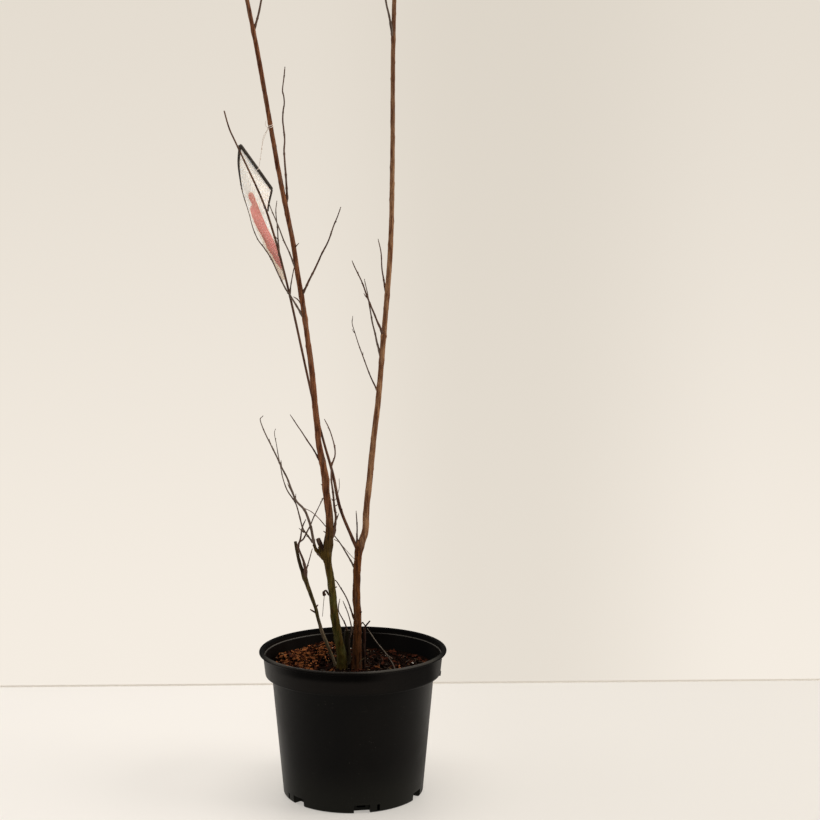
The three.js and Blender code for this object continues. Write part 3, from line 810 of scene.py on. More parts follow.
SIDE_SHOOT = Limb(
    "side_shoot",
    ((6, -4, 287), (-0.8, -4, 302), (-14.8, -2, 337), (-23, 0, 376), (-34.4, 1, 417), (-47.2, 0, 469),
     (-67.2, -8, 566), (-77.2, -13, 611), (-87.5, -17, 651), (-101, -20, 692), (-127.2, -24.5, 750),
     (-136.1, -26.5, 770), (-141.5, -28, 789.5)),
    ((287, 4.7), (309, 3.6), (330, 3.5), (345, 3.7), (376, 3.3), (417, 2.8), (566, 2.7), (692, 2.4),
     (790, 1.6)),
    "shoot", Relief(0.12, 0.08, 0.35), on="right_stem",
)
STUB_STEM = Limb(
    "stub_stem",
    ((-20, 6, FOOT), (-25.2, 7.2, 158.5), (-30.4, 8.2, 170.5), (-37, 9.4, 186.5), (-41.8, 10.3, 203),
     (-45.3, 11, 217), (-58.1, 12, 253), (-64.2, 13, 272), (-68.3, 13, 294)),
    ((FOOT, 3.4), (159, 3.2), (171, 3.7), (186, 4.2), (217, 4), (232, 4.8), (245, 5.4), (272, 4.1),
     (294, 3.5)),
    "stub", Relief(0.26, 0.16, 0.5),
)
PRUNED_STUB = Limb(
    "pruned_stub", ((-31, -9.5, 283), (-36, -11, 291), (-39.5, -12, 301)),
    ((283, 5.6), (301, 4.6)), "mossy", Relief(0.35, 0.2, 0), part_of="left_stem",
)
OLD_STUMP = Limb(
    "old_stump", ((-7, 15, FOOT), (-7.4, 15.4, 168), (-7, 16, 187)), ((FOOT, 8.5), (187, 7)),
    "stump", Relief(0.6, 0.4, 0),
)
DEAD_SHOOT = Limb(
    "dead_shoot", ((12.8, 1, FOOT), (13, 0.6, 170), (13.5, 1, 193)),
    ((FOOT, 4.2), (193, 3.4)), "dead", Relief(0.3, 0.2, 0.3),
)
DRY_STALK = Limb(
    "dry_stalk",
    ((17, -5, 194), (27, -12, 181), (39, -20, 168), (47, -27, 157.5), (52.5, -31, 145.5)),
    ((145, 1.3), (194, 1.1)), "dry", Relief(0.06, 0.05, 0.2),
)
LIMBS = (LEFT_STEM, PRUNED_STUB, RIGHT_STEM, SIDE_SHOOT, STUB_STEM, OLD_STUMP, DEAD_SHOOT,
         DRY_STALK)


@dataclass(frozen=True)
class Mass:
    """A mass of twigs: where it starts, its main strands and its rule's numbers."""

    name: str
    on: str
    seed: int
    side: float
    ends: Pair
    strands: tuple[Route, ...]


LISTED_MASSES = (
    Mass("fork_twigs_left", "left_stem", 11, 9, (2.9, 0.9), (
        ((-30, -9, 281), (-35.3, -9, 279.6), (-40.8, -10, 286.2), (-45, -11, 296.4), (-48.1, -15, 314.1),
         (-51.3, -18, 327.3), (-55.3, -21, 337.6), (-64.6, -24.5, 349.4), (-73.4, -30.5, 373.8),
         (-82.7, -36, 396.3), (-93, -41, 419), (-98.9, -43.5, 431.6), (-102, -45.5, 442.8),
         (-99.2, -46, 446.3)),
        ((-45.9, -12, 297.3), (-52.1, -9, 304.5), (-57.9, -6, 312.6), (-62.3, -3, 327.7),
         (-66.9, -1, 343), (-76.6, 1.5, 357.1), (-80.8, 4, 368.1), (-83.9, 6, 381.4), (-86.8, 8, 395.4),
         (-89, 9.5, 408.1), (-91.3, 11.5, 422.2), (-90.5, 12, 426.4)))),
    Mass("fork_twigs_right", "left_stem", 12, 7, (2.5, 1), (
        ((-26, -10, 300), (-22, -9.5, 307), (-20.3, -11, 315), (-18.8, -12.6, 326), (-20, -13.5, 337.3),
         (-20.8, -15, 348.2), (-22.5, -16, 360.4), (-23.7, -17, 371.2), (-23.2, -18.5, 384.7),
         (-21, -20, 393), (-19.2, -21, 400), (-19.8, -22.5, 411), (-24, -25.5, 427),
         (-30.6, -29, 441.4)),)),
    Mass("low_left_twig", "left_stem", 13, 6, (1.6, 0.9), (
        ((-36, -13, 391), (-46, -8, 407), (-57, -4, 423), (-72, 2, 444)),)),
    Mass("long_left_twig", "left_stem", 14, 8, (1.9, 0.45), (
        ((-53, -21, 556), (-67.3, -25.5, 580), (-74.4, -27.6, 591), (-79.5, -30.5, 601),
         (-89, -34.8, 624), (-97.3, -37, 636.7), (-105.6, -39, 649), (-115.2, -40.5, 680),
         (-122, -42, 706)),)),
    Mass("cross_twig", "left_stem", 15, 0, (1.4, 1), (
        ((-57, -21, 574), (-62, -15, 579), (-65.5, -11.5, 581)),)),
    Mass("right_reaching_twig", "left_stem", 16, 8, (2.1, 1), (
        ((-57, -22, 582), (-44, -30, 605), (-33, -38, 628), (-24, -44, 645), (-10, -54, 680)),)),
    Mass("inner_twig", "left_stem", 17, 0, (1.5, 0.9), (
        ((-63, -25, 615), (-73, -30, 640), (-85, -35, 670), (-92, -38, 687)),)),
    Mass("upright_twig", "left_stem", 18, 7, (2, 1.05), (
        ((-72.5, -28.5, 688), (-71.6, -29, 695), (-72.6, -32, 713), (-73.7, -34, 732.7),
         (-73.9, -35, 744), (-73, -36, 755), (-74.1, -38, 768.5), (-75.1, -39, 777.6),
         (-74.4, -41, 788.2), (-73.1, -42, 794.8), (-73.4, -43, 803), (-74.7, -44, 810),
         (-72.5, -47, 824.2), (-70.9, -50, 833.7)),)),
    Mass("shoot_twig_low", "side_shoot", 19, 0, (1.3, 0.9), (
        ((-71, -10, 582), (-69.5, -8, 596), (-66, -6, 616)),)),
    Mass("shoot_twig_high", "side_shoot", 20, 0, (1.3, 0.9), (
        ((-82, -16, 628), (-84, -12, 655), (-86, -9, 678), (-85, -7, 690)),)),
    Mass("fork_sprig", "right_stem", 21, 0, (1.9, 0.9), (
        ((6.2, -4, 290), (5.2, -3.2, 300), (5.1, -2, 313), (4, 0, 331)),)),
    Mass("right_twig_low", "right_stem", 22, 7, (1.4, 0.7), (
        ((31, 8, 468), (20, 13, 491), (10, 19, 517), (0, 25, 547), (0, 27, 558)),)),
    Mass("right_twig_mid", "right_stem", 23, 6, (2, 0.9), (
        ((34, 11, 508), (26, 17, 539), (21, 22, 563), (14, 30, 601)),)),
    Mass("right_twig_high", "right_stem", 24, 9, (2.1, 1), (
        ((36.4, 13, 536), (27.6, 8, 557), (21, 3, 572), (13, -3, 594), (1, -10, 622)),)),
    Mass("right_twig_top", "right_stem", 25, 0, (1.7, 0.9), (
        ((40, 16, 583), (35, 22, 608), (33, 27, 633), (30, 31, 648)),)),
    Mass("bridge_twig_high", "right_stem", 26, 0, (1.7, 1), (
        ((4, -4, 263), (-6.9, 0, 281), (-13.7, 3, 291.4), (-18.4, 2, 298.2), (-23, -3, 305.5)),)),
    Mass("bridge_twig_low", "right_stem", 27, 0, (1.6, 1), (
        ((4.6, -5, 200), (0.4, -4, 208.2), (-4, 0, 220.1), (-8.9, 2, 231.6), (-14.7, 2, 241.4),
         (-19.5, 0, 249.7), (-24, -4, 253)),)),
    Mass("stump_twig_left", "old_stump", 28, 0, (1.5, 0.9), (
        ((-7, 16, 176), (-8.4, 15, 190.2), (-12.6, 10, 202.1), (-16.9, 7, 211.4), (-17.2, 8, 217.9),
         (-15.8, 12, 225.2)),)),
    Mass("stump_twig_right", "old_stump", 29, 0, (1.5, 0.9), (
        ((-7, 16, 174), (-2, 13, 188), (-6, 15, 206), (-12, 18, 221)),)),
    Mass("stub_twigs_right", "stub_stem", 30, 6, (2.9, 1.1), (
        ((-57, 12, 252), (-56.3, 11, 260), (-58.2, 10, 268.1), (-60.8, 9, 276.5), (-63, 8, 283.5),
         (-64.4, 7.4, 289.5), (-61.8, 6, 298.8), (-60.2, 4, 308.7), (-58, 2, 315.8), (-55.5, 1, 321.6)),
        ((-64.5, 7.5, 288.5), (-63.1, 6.5, 294.2), (-58.3, 5, 298.5), (-53.3, 3, 308.4),
         (-49.8, 1.5, 315.4), (-45.6, -1, 326), (-38.6, -3.5, 339.2), (-33.1, -6, 349.6)))),
    Mass("left_top_twigs", "left_stem", 32, 34, (2, 0.9), (
        ((-106.6, -43, 874), (-103.9, -42.6, 881.5), (-101.6, -41.6, 890), (-98, -38, 908),
         (-88, -30, 965), (-81, -22, 1040)),)),
    Mass("right_top_twigs", "right_stem", 33, 36, (2.1, 0.9), (
        ((48, 38, 880), (43, 40, 906), (38, 44, 928), (29, 50, 985), (22, 58, 1050)),)),
    Mass("stub_twig_low", "stub_stem", 31, 0, (1.6, 0.9), (
        ((-57, 12, 250), (-54.5, 15, 264), (-51, 18, 276), (-49, 21, 283)),)),
)

# Levels below which these masses are seen to have no side twigs.
PLAIN_BELOW = {"upright_twig": 900.0, "left_top_twigs": 915.0, "right_top_twigs": 915.0}


@dataclass(frozen=True)
class CrownRule:
    """How the twigs of one leader's crown are spaced, turned and shortened."""

    on: str
    count: int
    low: float
    high: float
    first: float
    last: float
    turn: float
    lean: float
    seed: int
    side: float


CROWN = (
    CrownRule("left_stem", 6, 944, 1215, 160, 78, 165, 34, 51, 54),
    CrownRule("right_stem", 5, 948, 1160, 160, 80, -20, 36, 61, 50),
)


@dataclass
class Space:
    """Spheres that stand for the space of a limb or twig."""

    centres: Array
    radii: Array

    def nearest(self, points: Array) -> tuple[Array, Array]:
        """Finds the nearest sphere of each point.

        Args:
            points: Points as rows.

        Returns:
            The distance outside that sphere, and the sphere's centre.
        """
        away = np.linalg.norm(points[:, None, :] - self.centres[None, :, :], axis=2)
        away = away - self.radii[None, :]
        found = away.argmin(axis=1)
        return away[np.arange(len(points)), found], self.centres[found]


@dataclass
class Strand:
    """One twig: its course, its diameter at both ends, its order and buried length."""

    course: Course
    wide: float
    thin: float
    level: int
    buried: float

    def diameter(self, u: float) -> float:
        """Diameter at a share of the length."""
        return self.wide + (self.thin - self.wide) * u


@dataclass(frozen=True)
class TwigRule:
    """How the twigs of one order are spaced, turned, shortened and thinned."""

    level: int
    spacing: float
    first: float
    turn: float
    sway: float
    least: float
    more: float
    fall: float
    shortest: float
    last: float
    thick: float
    lowest: float = 0.0


SIDE_TWIGS = TwigRule(1, 27, 0.55, 0, 1.2, 0.55, 0.75, 0.45, 3.5, 0.96, 1.5)
FINE_TWIGS = TwigRule(2, 16, 0.4, math.pi / 2, 1.4, 0.45, 0.7, 0.5, 5, 0.92, 1.3, 925)


class Growth:
    """The rule that grows twigs from the limbs by turns, each clear of its neighbours."""

    LIMB_SIDES = 8
    STEM_STEP = 18.0
    BOUGH_STEP = 14.0
    TWIG_SIDES = 3
    TWIG_STEP = 11.0
    LEAVING = math.radians(42)
    RISE = np.array([0.0, 0.0, 0.45])
    CLEARANCE = 1.2
    CROWN_ENDS = (2, 1)
    CROWN_TURN = 137.5
    STRAIGHTENING = 0.45
    SECOND_SHARE = 0.85
    SIDE_THIN = 0.85
    FINE_THIN = 0.6
    FINE_REACH = (0.3, 0.34)
    FINE_SEED = 500
    END_LOOKS = 5

    def __init__(self) -> None:
        """Stands the limbs up."""
        self.courses: dict[str, Course] = {}
        self.spaces: dict[str, Space] = {}
        for limb in LIMBS:
            course, wide = Course(limb.course), limb.taper[0][1]
            start = self._clear_start(course, limb.on, wide / 2) if limb.on else 0.0
            step = self.STEM_STEP if wide > 6 else self.BOUGH_STEP
            rings = Rings.on(course, self._ring_count(course, start, step), start)
            self.courses[limb.name] = course
            self._keep(limb.name, rings, limb.radius(rings.centres[:, 2]), self.LIMB_SIDES)

    def _keep(self, name: str, rings: Rings, radii: Array, sides: int) -> None:
        """Adds a tube's space under its owner's name.

        Args:
            name: The owner.
            rings: The tube's rings.
            radii: One radius for each ring.
            sides: Number of the tube's sides.
        """
        flat = (1 + math.cos(math.pi / sides)) / 2
        centres, sizes = [], []
        for i in range(len(radii) - 1):
            a, b = rings.centres[i], rings.centres[i + 1]
            count = math.ceil(float(np.linalg.norm(b - a)))
            share = (np.arange(count) + 0.5) / count
            centres.append(a + (b - a) * share[:, None])
            sizes.append((radii[i] + (radii[i + 1] - radii[i]) * share) * flat)
        held = self.spaces.get(name, Space(np.empty((0, 3)), np.empty(0)))
        self.spaces[name] = Space(np.vstack([held.centres, *centres]),
                                  np.concatenate([held.radii, *sizes]))

    @staticmethod
    def _ring_count(course: Course, start: float, step: float) -> int:
        """Number of spans for a step along what is left of a course."""
        return max(3, math.floor(course.length * (1 - start) / step + 0.5))

    def _clear_start(self, course: Course, carrier: str, radius: float) -> float:
        """Where a course's whole end face is clear of the limb that carries it.

        Args:
            course: The centre line.
            carrier: The limb's name.
            radius: The end face's radius.

        Returns:
            The share of the length.
        """
        steps = math.ceil(course.length * self.END_LOOKS)
        shares = np.arange(steps) / steps
        points, along = course.at(shares), course.along(shares)
        distance, centres = self.spaces[carrier].nearest(points)
        lean = np.linalg.norm(np.cross(unit(points - centres), along), axis=1)
        clear = np.nonzero(distance >= SEAT_GAP + radius * lean)[0]
        return float(shares[clear[0]]) if len(clear) else 0.0

    def _is_free(self, name: str, course: Course, radius: float) -> bool:
        """Whether a mass's new twig, off a twig of a radius, stays clear of all that stands."""
        points = course.at(np.arange(3, 9) / 8)
        return all((space.nearest(points)[0] >= radius + (owner != name) * self.CLEARANCE).all()
                   for owner, space in self.spaces.items())

    def _stand_twig(self, name: str, twig: Strand, start: float = 0.0) -> None:
        """Adds a twig's space to its mass, from a share of the twig's length on."""
        rings = Rings.on(twig.course, self._ring_count(twig.course, start, self.TWIG_STEP), start)
        self._keep(name, rings, rings.cone(twig.wide, twig.thin), self.TWIG_SIDES)

    def _places(self, course: Course, u: float, turn: float, length: float) -> list[Array]:
        """Root, middle and tip of a twig that leaves another one.

        Args:
            course: The line that it leaves.
            u: Share of that line's length.
            turn: Angle round that line.
            length: The twig's length.

        Returns:
            Three points.
        """
        root, along = course.spot(u), course.heading(u)
        across = unit(np.cross(np.array([0.0, 0.0, 1.0]), along))
        across = across * math.cos(turn) + np.cross(along, across) * math.sin(turn)
        leave = along * math.cos(self.LEAVING) + across * math.sin(self.LEAVING)
        middle = root + leave * (length / 2)
        return [root, middle, middle + unit(leave + self.RISE) * (length / 2)]

    def _side_twigs(self, name: str, carrier: Strand, rule: TwigRule, reach: float, thin: float,
                    draws: Draws) -> list[Strand]:
        """Twigs that leave another one by turns and bend upwards.

        Args:
            name: The mass that they belong to.
            carrier: The twig that they leave.
            rule: The numbers of their order.
            reach: The length that the rule takes shares of.
            thin: Diameter of their tips.
            draws: The mass's row of numbers.

        Returns:
            The twigs that have room.
        """
        grown = []
        count = math.floor(carrier.course.length / rule.spacing)
        for i in range(count):
            u = (i + rule.first + 0.5 * draws.next()) / (count + 0.2)
            turn = math.pi * i + rule.turn + rule.sway * (draws.next() - 0.5)
            length = reach * (rule.least + rule.more * draws.next()) * (1 - rule.fall * u)
            if length < rule.shortest or u > rule.last:
                continue
            course = Course(self._places(carrier.course, u, turn, length))
            radius = carrier.diameter(u) / 2
            if course.spot(0)[2] >= rule.lowest and self._is_free(name, course, radius):
                twig = Strand(course, radius * rule.thick, thin, rule.level, radius)
                self._stand_twig(name, twig)
                grown.append(twig)
        return grown

    def grow(self, mass: Mass) -> list[Strand]:
        """Grows one mass.

        Args:
            mass: Its rule.

        Returns:
            Main strands and side twigs in the order of growth.
        """
        draws = Draws(mass.seed)
        wide, thin = mass.ends
        strands = []
        for order, places in enumerate(mass.strands):
            course = Course(places)
            start = 0.0 if order else self._clear_start(course, mass.on, wide / 2)
            thick = wide * self.SECOND_SHARE if order else wide
            buried = start * course.length if start else thick / 2
            main = Strand(course, thick, thin, 0, buried)
            self._stand_twig(mass.name, main, start)
            strands.append(main)
            if mass.side > 0:
                strands += self._side_twigs(mass.name, replace(main, wide=wide), SIDE_TWIGS,
                                            mass.side, thin * self.SIDE_THIN, draws)
        return strands

    def finer(self, mass: Mass, strands: Sequence[Strand]) -> list[Strand]:
        """Grows short twigs from a mass's longer ones, within the same reach.

        Args:
            mass: The mass.
            strands: What has grown already.

        Returns:
            The finer twigs that have room.
        """
        draws = Draws(mass.seed + self.FINE_SEED)
        grown = []
        for strand in strands:
            own, widest = self.FINE_REACH
            reach = min(own * strand.course.length, widest * mass.side)
            grown += self._side_twigs(mass.name, strand, FINE_TWIGS, reach, self.FINE_THIN, draws)
        return grown

    def crown(self, rule: CrownRule) -> list[Mass]:
        """Sets a leader's crown twigs by the golden angle.

        Args:
            rule: The leader's numbers.

        Returns:
            One mass for each twig.
        """
        draws = Draws(rule.seed)
        leader = self.courses[rule.on]
        masses = []
        for i in range(rule.count):
            share = i / (rule.count - 1)
            height = rule.low + (rule.high - rule.low) * share ** 0.9
            length = (rule.first + (rule.last - rule.first) * share) * (0.9 + 0.2 * draws.next())
            heading = math.radians(rule.turn + self.CROWN_TURN * i)
            place = leader.spot(leader.at_height(height))
            places = [tuple(place)]
            tilt = math.radians(rule.lean + 8 * (draws.next() - 0.5))
            for _ in range(3):
                step = np.array([math.cos(heading) * math.sin(tilt),
                                 math.sin(heading) * math.sin(tilt), math.cos(tilt)])
                place = place + step * (length / 3)
                places.append(tuple(place))
                tilt *= 1 - self.STRAIGHTENING / 2
            name = f"{rule.on.replace('stem', 'crown')}_twigs_{i + 1}"
            masses.append(Mass(name, rule.on, rule.seed + i + 1, rule.side, self.CROWN_ENDS,
                               (tuple(places),)))
        return masses


def rounded(corners: Sequence[Pair], reach: float) -> list[Pair]:
    """Rounds the corners of an open outline.

    Args:
        corners: Its corners in order.
        reach: How far from a corner the rounding starts.

    Returns:
        The outline with four short spans in place of each corner.
    """
    spots = [np.array(corner, float) for corner in corners]
    line = [tuple(spots[0])]
    for before, corner, after in zip(spots, spots[1:], spots[2:]):
        first, last = (corner + away * min(0.45, reach / max(float(np.linalg.norm(away)), 1e-6))
                       for away in (before - corner, after - corner))
        line += [tuple(first * (1 - s) ** 2 + corner * 2 * s * (1 - s) + last * s ** 2)
                 for s in np.linspace(0, 1, 5)]
    return [*line, tuple(spots[-1])]


def lathed(outline: Sequence[Pair], segments: int) -> Array:
    """Turns an outline about the upright axis.

    Args:
        outline: Radius and height pairs.
        segments: Number of segments round the axis.

    Returns:
        Points by ring and segment.
    """
    radius, height = np.array(outline, float).T[:, :, None]
    turn = np.linspace(0, 2 * math.pi, segments, endpoint=False)
    places = np.broadcast_arrays(radius * np.cos(turn), radius * np.sin(turn), height)
    return np.stack(places, axis=-1)


@dataclass
class Pot:
    """Round nursery pot: tapered body, ledge, collar, rolled lip and drain pockets."""

    height: float = 169.8
    base_radius: float = 82.4
    ledge_radius: float = 95.1
    ledge_height: float = 139.5
    collar_foot: float = 102.8
    collar_top: float = 105.6
    lip_radius: float = 110.2
    lip_depth: float = 4.2
    wall: float = 1.5
    floor: float = 2.0
    foot_rise: float = 1.0
    pocket_turns: tuple[float, ...] = (-104.0, -47.5, 9.1, 65.0, 128.7, 192.3)
    slot_turns: tuple[float, ...] = (-117.2, -61.3, 22.3, 78.2, 141.9, 179.1)
    pocket_width: float = 18.5
    pocket_height: float = 9.8
    pocket_depth: float = 10.5
    drain_width: float = 10.0
    drain_levels: Pair = (3.5, 6.5)
    slot_width: float = 3.2
    slot_levels: Pair = (1.6, 9.2)
    wall_levels: Pair = (12.6, 15.6)
    segments: int = 240

    def outside(self) -> list[Pair]:
        """Outline from the raised underside up to the lip's top."""
        base, ledge, lip, top = self.base_radius, self.ledge_height, self.lip_radius, self.height
        edge, low = 1.4, top - self.lip_depth
        lean = (self.ledge_radius - base) / (ledge - edge)
        return [
            (base - 15, self.foot_rise), (base - 13, 0), (base - 1.6, 0), (base, edge),
            *((base + (level - edge) * lean, level) for level in self.wall_levels),
            (self.ledge_radius, ledge), (self.collar_foot, ledge + 1.6), (self.collar_top, low),
            (lip - 0.7, low + 0.4), (lip, top - self.lip_depth / 2), (lip - 0.8, top - 0.5),
            (lip - 2, top),
        ]

    def inside(self, gap: float = 0.0) -> list[Pair]:
        """Outline from the lip's top down to the floor.

        Args:
            gap: Clearance to what fills the pot.

        Returns:
            Radius and height pairs.
        """
        top, wall, collar = self.height, self.wall + gap, self.collar_top
        return [
            (collar - 0.6 - gap, top - 0.6), (collar - wall, top - 2.4),
            (collar - wall - 0.2, top - 6.4), (collar - wall - 1, top - 7),
            (self.collar_foot - wall, self.ledge_height + 1.6 + self.wall),
            (self.ledge_radius - wall, self.ledge_height + self.wall),
            (self.base_radius - wall, self.floor + gap),
            (self.base_radius - 30, self.floor + gap),
        ]

    def _blocks(self, half: float, reach: Pair, levels: Pair, turns: Sequence[float]) -> Piece:
        """Radial blocks at the pot's foot.

        Args:
            half: Half of a block's width.
            reach: Distances of its inner and its outer face from the axis.
            levels: Its lowest and highest level.
            turns: The blocks' angles from the front in degrees.

        Returns:
            All the blocks as one object.
        """
        pile = Pile()
        inner, outer = reach
        corners = np.array([(x, y, z) for z in levels for x, y in (
            (-half, -outer), (half, -outer), (half, -inner), (-half, -inner))])
        sides = [(0, 3, 2, 1), (4, 5, 6, 7), (0, 1, 5, 4), (1, 2, 6, 5), (2, 3, 7, 6),
                 (3, 0, 4, 7)]
        for turn in turns:
            spin = np.array(Matrix.Rotation(math.radians(turn), 3, "Z"))
            pile.add(corners @ spin.T, sides)
        return pile.build("blocks", smooth=False)

    def _carve(self, pot: Piece) -> None:
        """Adds the pocket housings and cuts pockets, drains and slots.

        Args:
            pot: The turned shell.
        """
        base, wall, high = self.base_radius, self.wall, self.pocket_height
        half, inner, past = self.pocket_width / 2, base - self.pocket_depth, base + 5
        pockets = self.pocket_turns
        steps = (
            ("UNION", half + wall, (inner - wall, base - 1.9), (0.6, high + wall), pockets),
            ("DIFFERENCE", half, (inner, past), (-1, high), pockets),
            ("DIFFERENCE", self.drain_width / 2, (inner - 3, past), self.drain_levels, pockets),
            ("DIFFERENCE", self.slot_width / 2, (base - 3, past), self.slot_levels,
             self.slot_turns),
        )
        tools = []
        for operation, *block in steps:
            cut = pot.modifiers.new(operation, "BOOLEAN")
            cut.operation = operation
            cut.solver = "EXACT"
            cut.object = self._blocks(*block)
            tools.append(cut.object)
        edge = pot.modifiers.new("edges", "BEVEL")
        edge.width = 0.35 * MM
        edge.segments = 2
        edge.limit_method = "ANGLE"
        edge.angle_limit = math.radians(40)
        graph = bpy.context.evaluated_depsgraph_get()
        carved = bpy.data.meshes.new_from_object(pot.evaluated_get(graph))
        pot.modifiers.clear()
        pot.data = carved
        for tool in tools:
            bpy.data.objects.remove(tool)

    def _lugs(self) -> Piece:
        """Makes the small stacking lugs under the collar's outer edge."""
        pile = Pile()
        level = self.ledge_height + 1.2
        for angle in (math.radians(-4), math.radians(168)):
            out = np.array([math.cos(angle), math.sin(angle), 0])
            side = np.array([-out[1], out[0], 0])
            up = np.array([0, 0, 1.0])
            rings = []
            for rise, depth in ((-1.6, 3.4), (-1.2, 4.1), (1.8, 4.3), (2.6, 4.0)):
                foot = out * (self.collar_foot - 3.5) + up * (level + rise)
                rings.append([foot - side * 4, foot - side * 4 + out * depth,
                              foot + side * 4 + out * depth, foot + side * 4])
            pile.add_grid(np.array(rings))
        return pile.build("pot_lugs", sharp_deg=35)

    def build(self, finish: Material) -> None:
        """Makes the pot.

        Args:
            finish: Its plastic.
        """
        outline = [*rounded(self.outside(), 0.9), *rounded(self.inside(), 0.9)]
        shell = Pile()
        shell.add_grid(lathed(outline, self.segments))
        pot = shell.build("nursery_pot")
        self._carve(pot)
        lugs = self._lugs()
        pot.data.polygons.foreach_set("use_smooth", [True] * len(pot.data.polygons))
        pot.data.set_sharp_from_angle(angle=math.radians(32))
        present(pot, finish, ["pot"])
        present(lugs, finish)


class ChipKind(Enum):
    """Kinds of loose pieces in the potting mix."""

    ORANGE = "orange_bark"
    RUSSET = "russet_bark"
    DARK = "dark_bark"
    STRAW = "pale_wood"
    GRIT = "white_grit"


@dataclass(frozen=True)
class ChipRule:
    """How many chips of one kind there are, their sizes, tones and where they gather."""

    kind: ChipKind
    count: int
    length: Pair
    slimness: Pair
    heap_share: float
    dark: Colour
    light: Colour
    cell: float


CHIP_RULES = (
    ChipRule(ChipKind.ORANGE, 560, (2.6, 14), (0.25, 0.75), 0.96, "2c1106", "985d35", 240),
    ChipRule(ChipKind.RUSSET, 1300, (2.2, 11), (0.25, 0.7), 0.55, "150602", "482417", 260),
    ChipRule(ChipKind.DARK, 2300, (1.8, 10), (0.25, 0.8), 0.3, "050201", "160904", 300),
    ChipRule(ChipKind.STRAW, 120, (2.5, 12), (0.08, 0.22), 0.4, "5f4a32", "8e7858", 300),
    ChipRule(ChipKind.GRIT, 60, (1.2, 3.2), (0.6, 0.95), 0.5, "8f877c", "bdb6ac", 500),
)


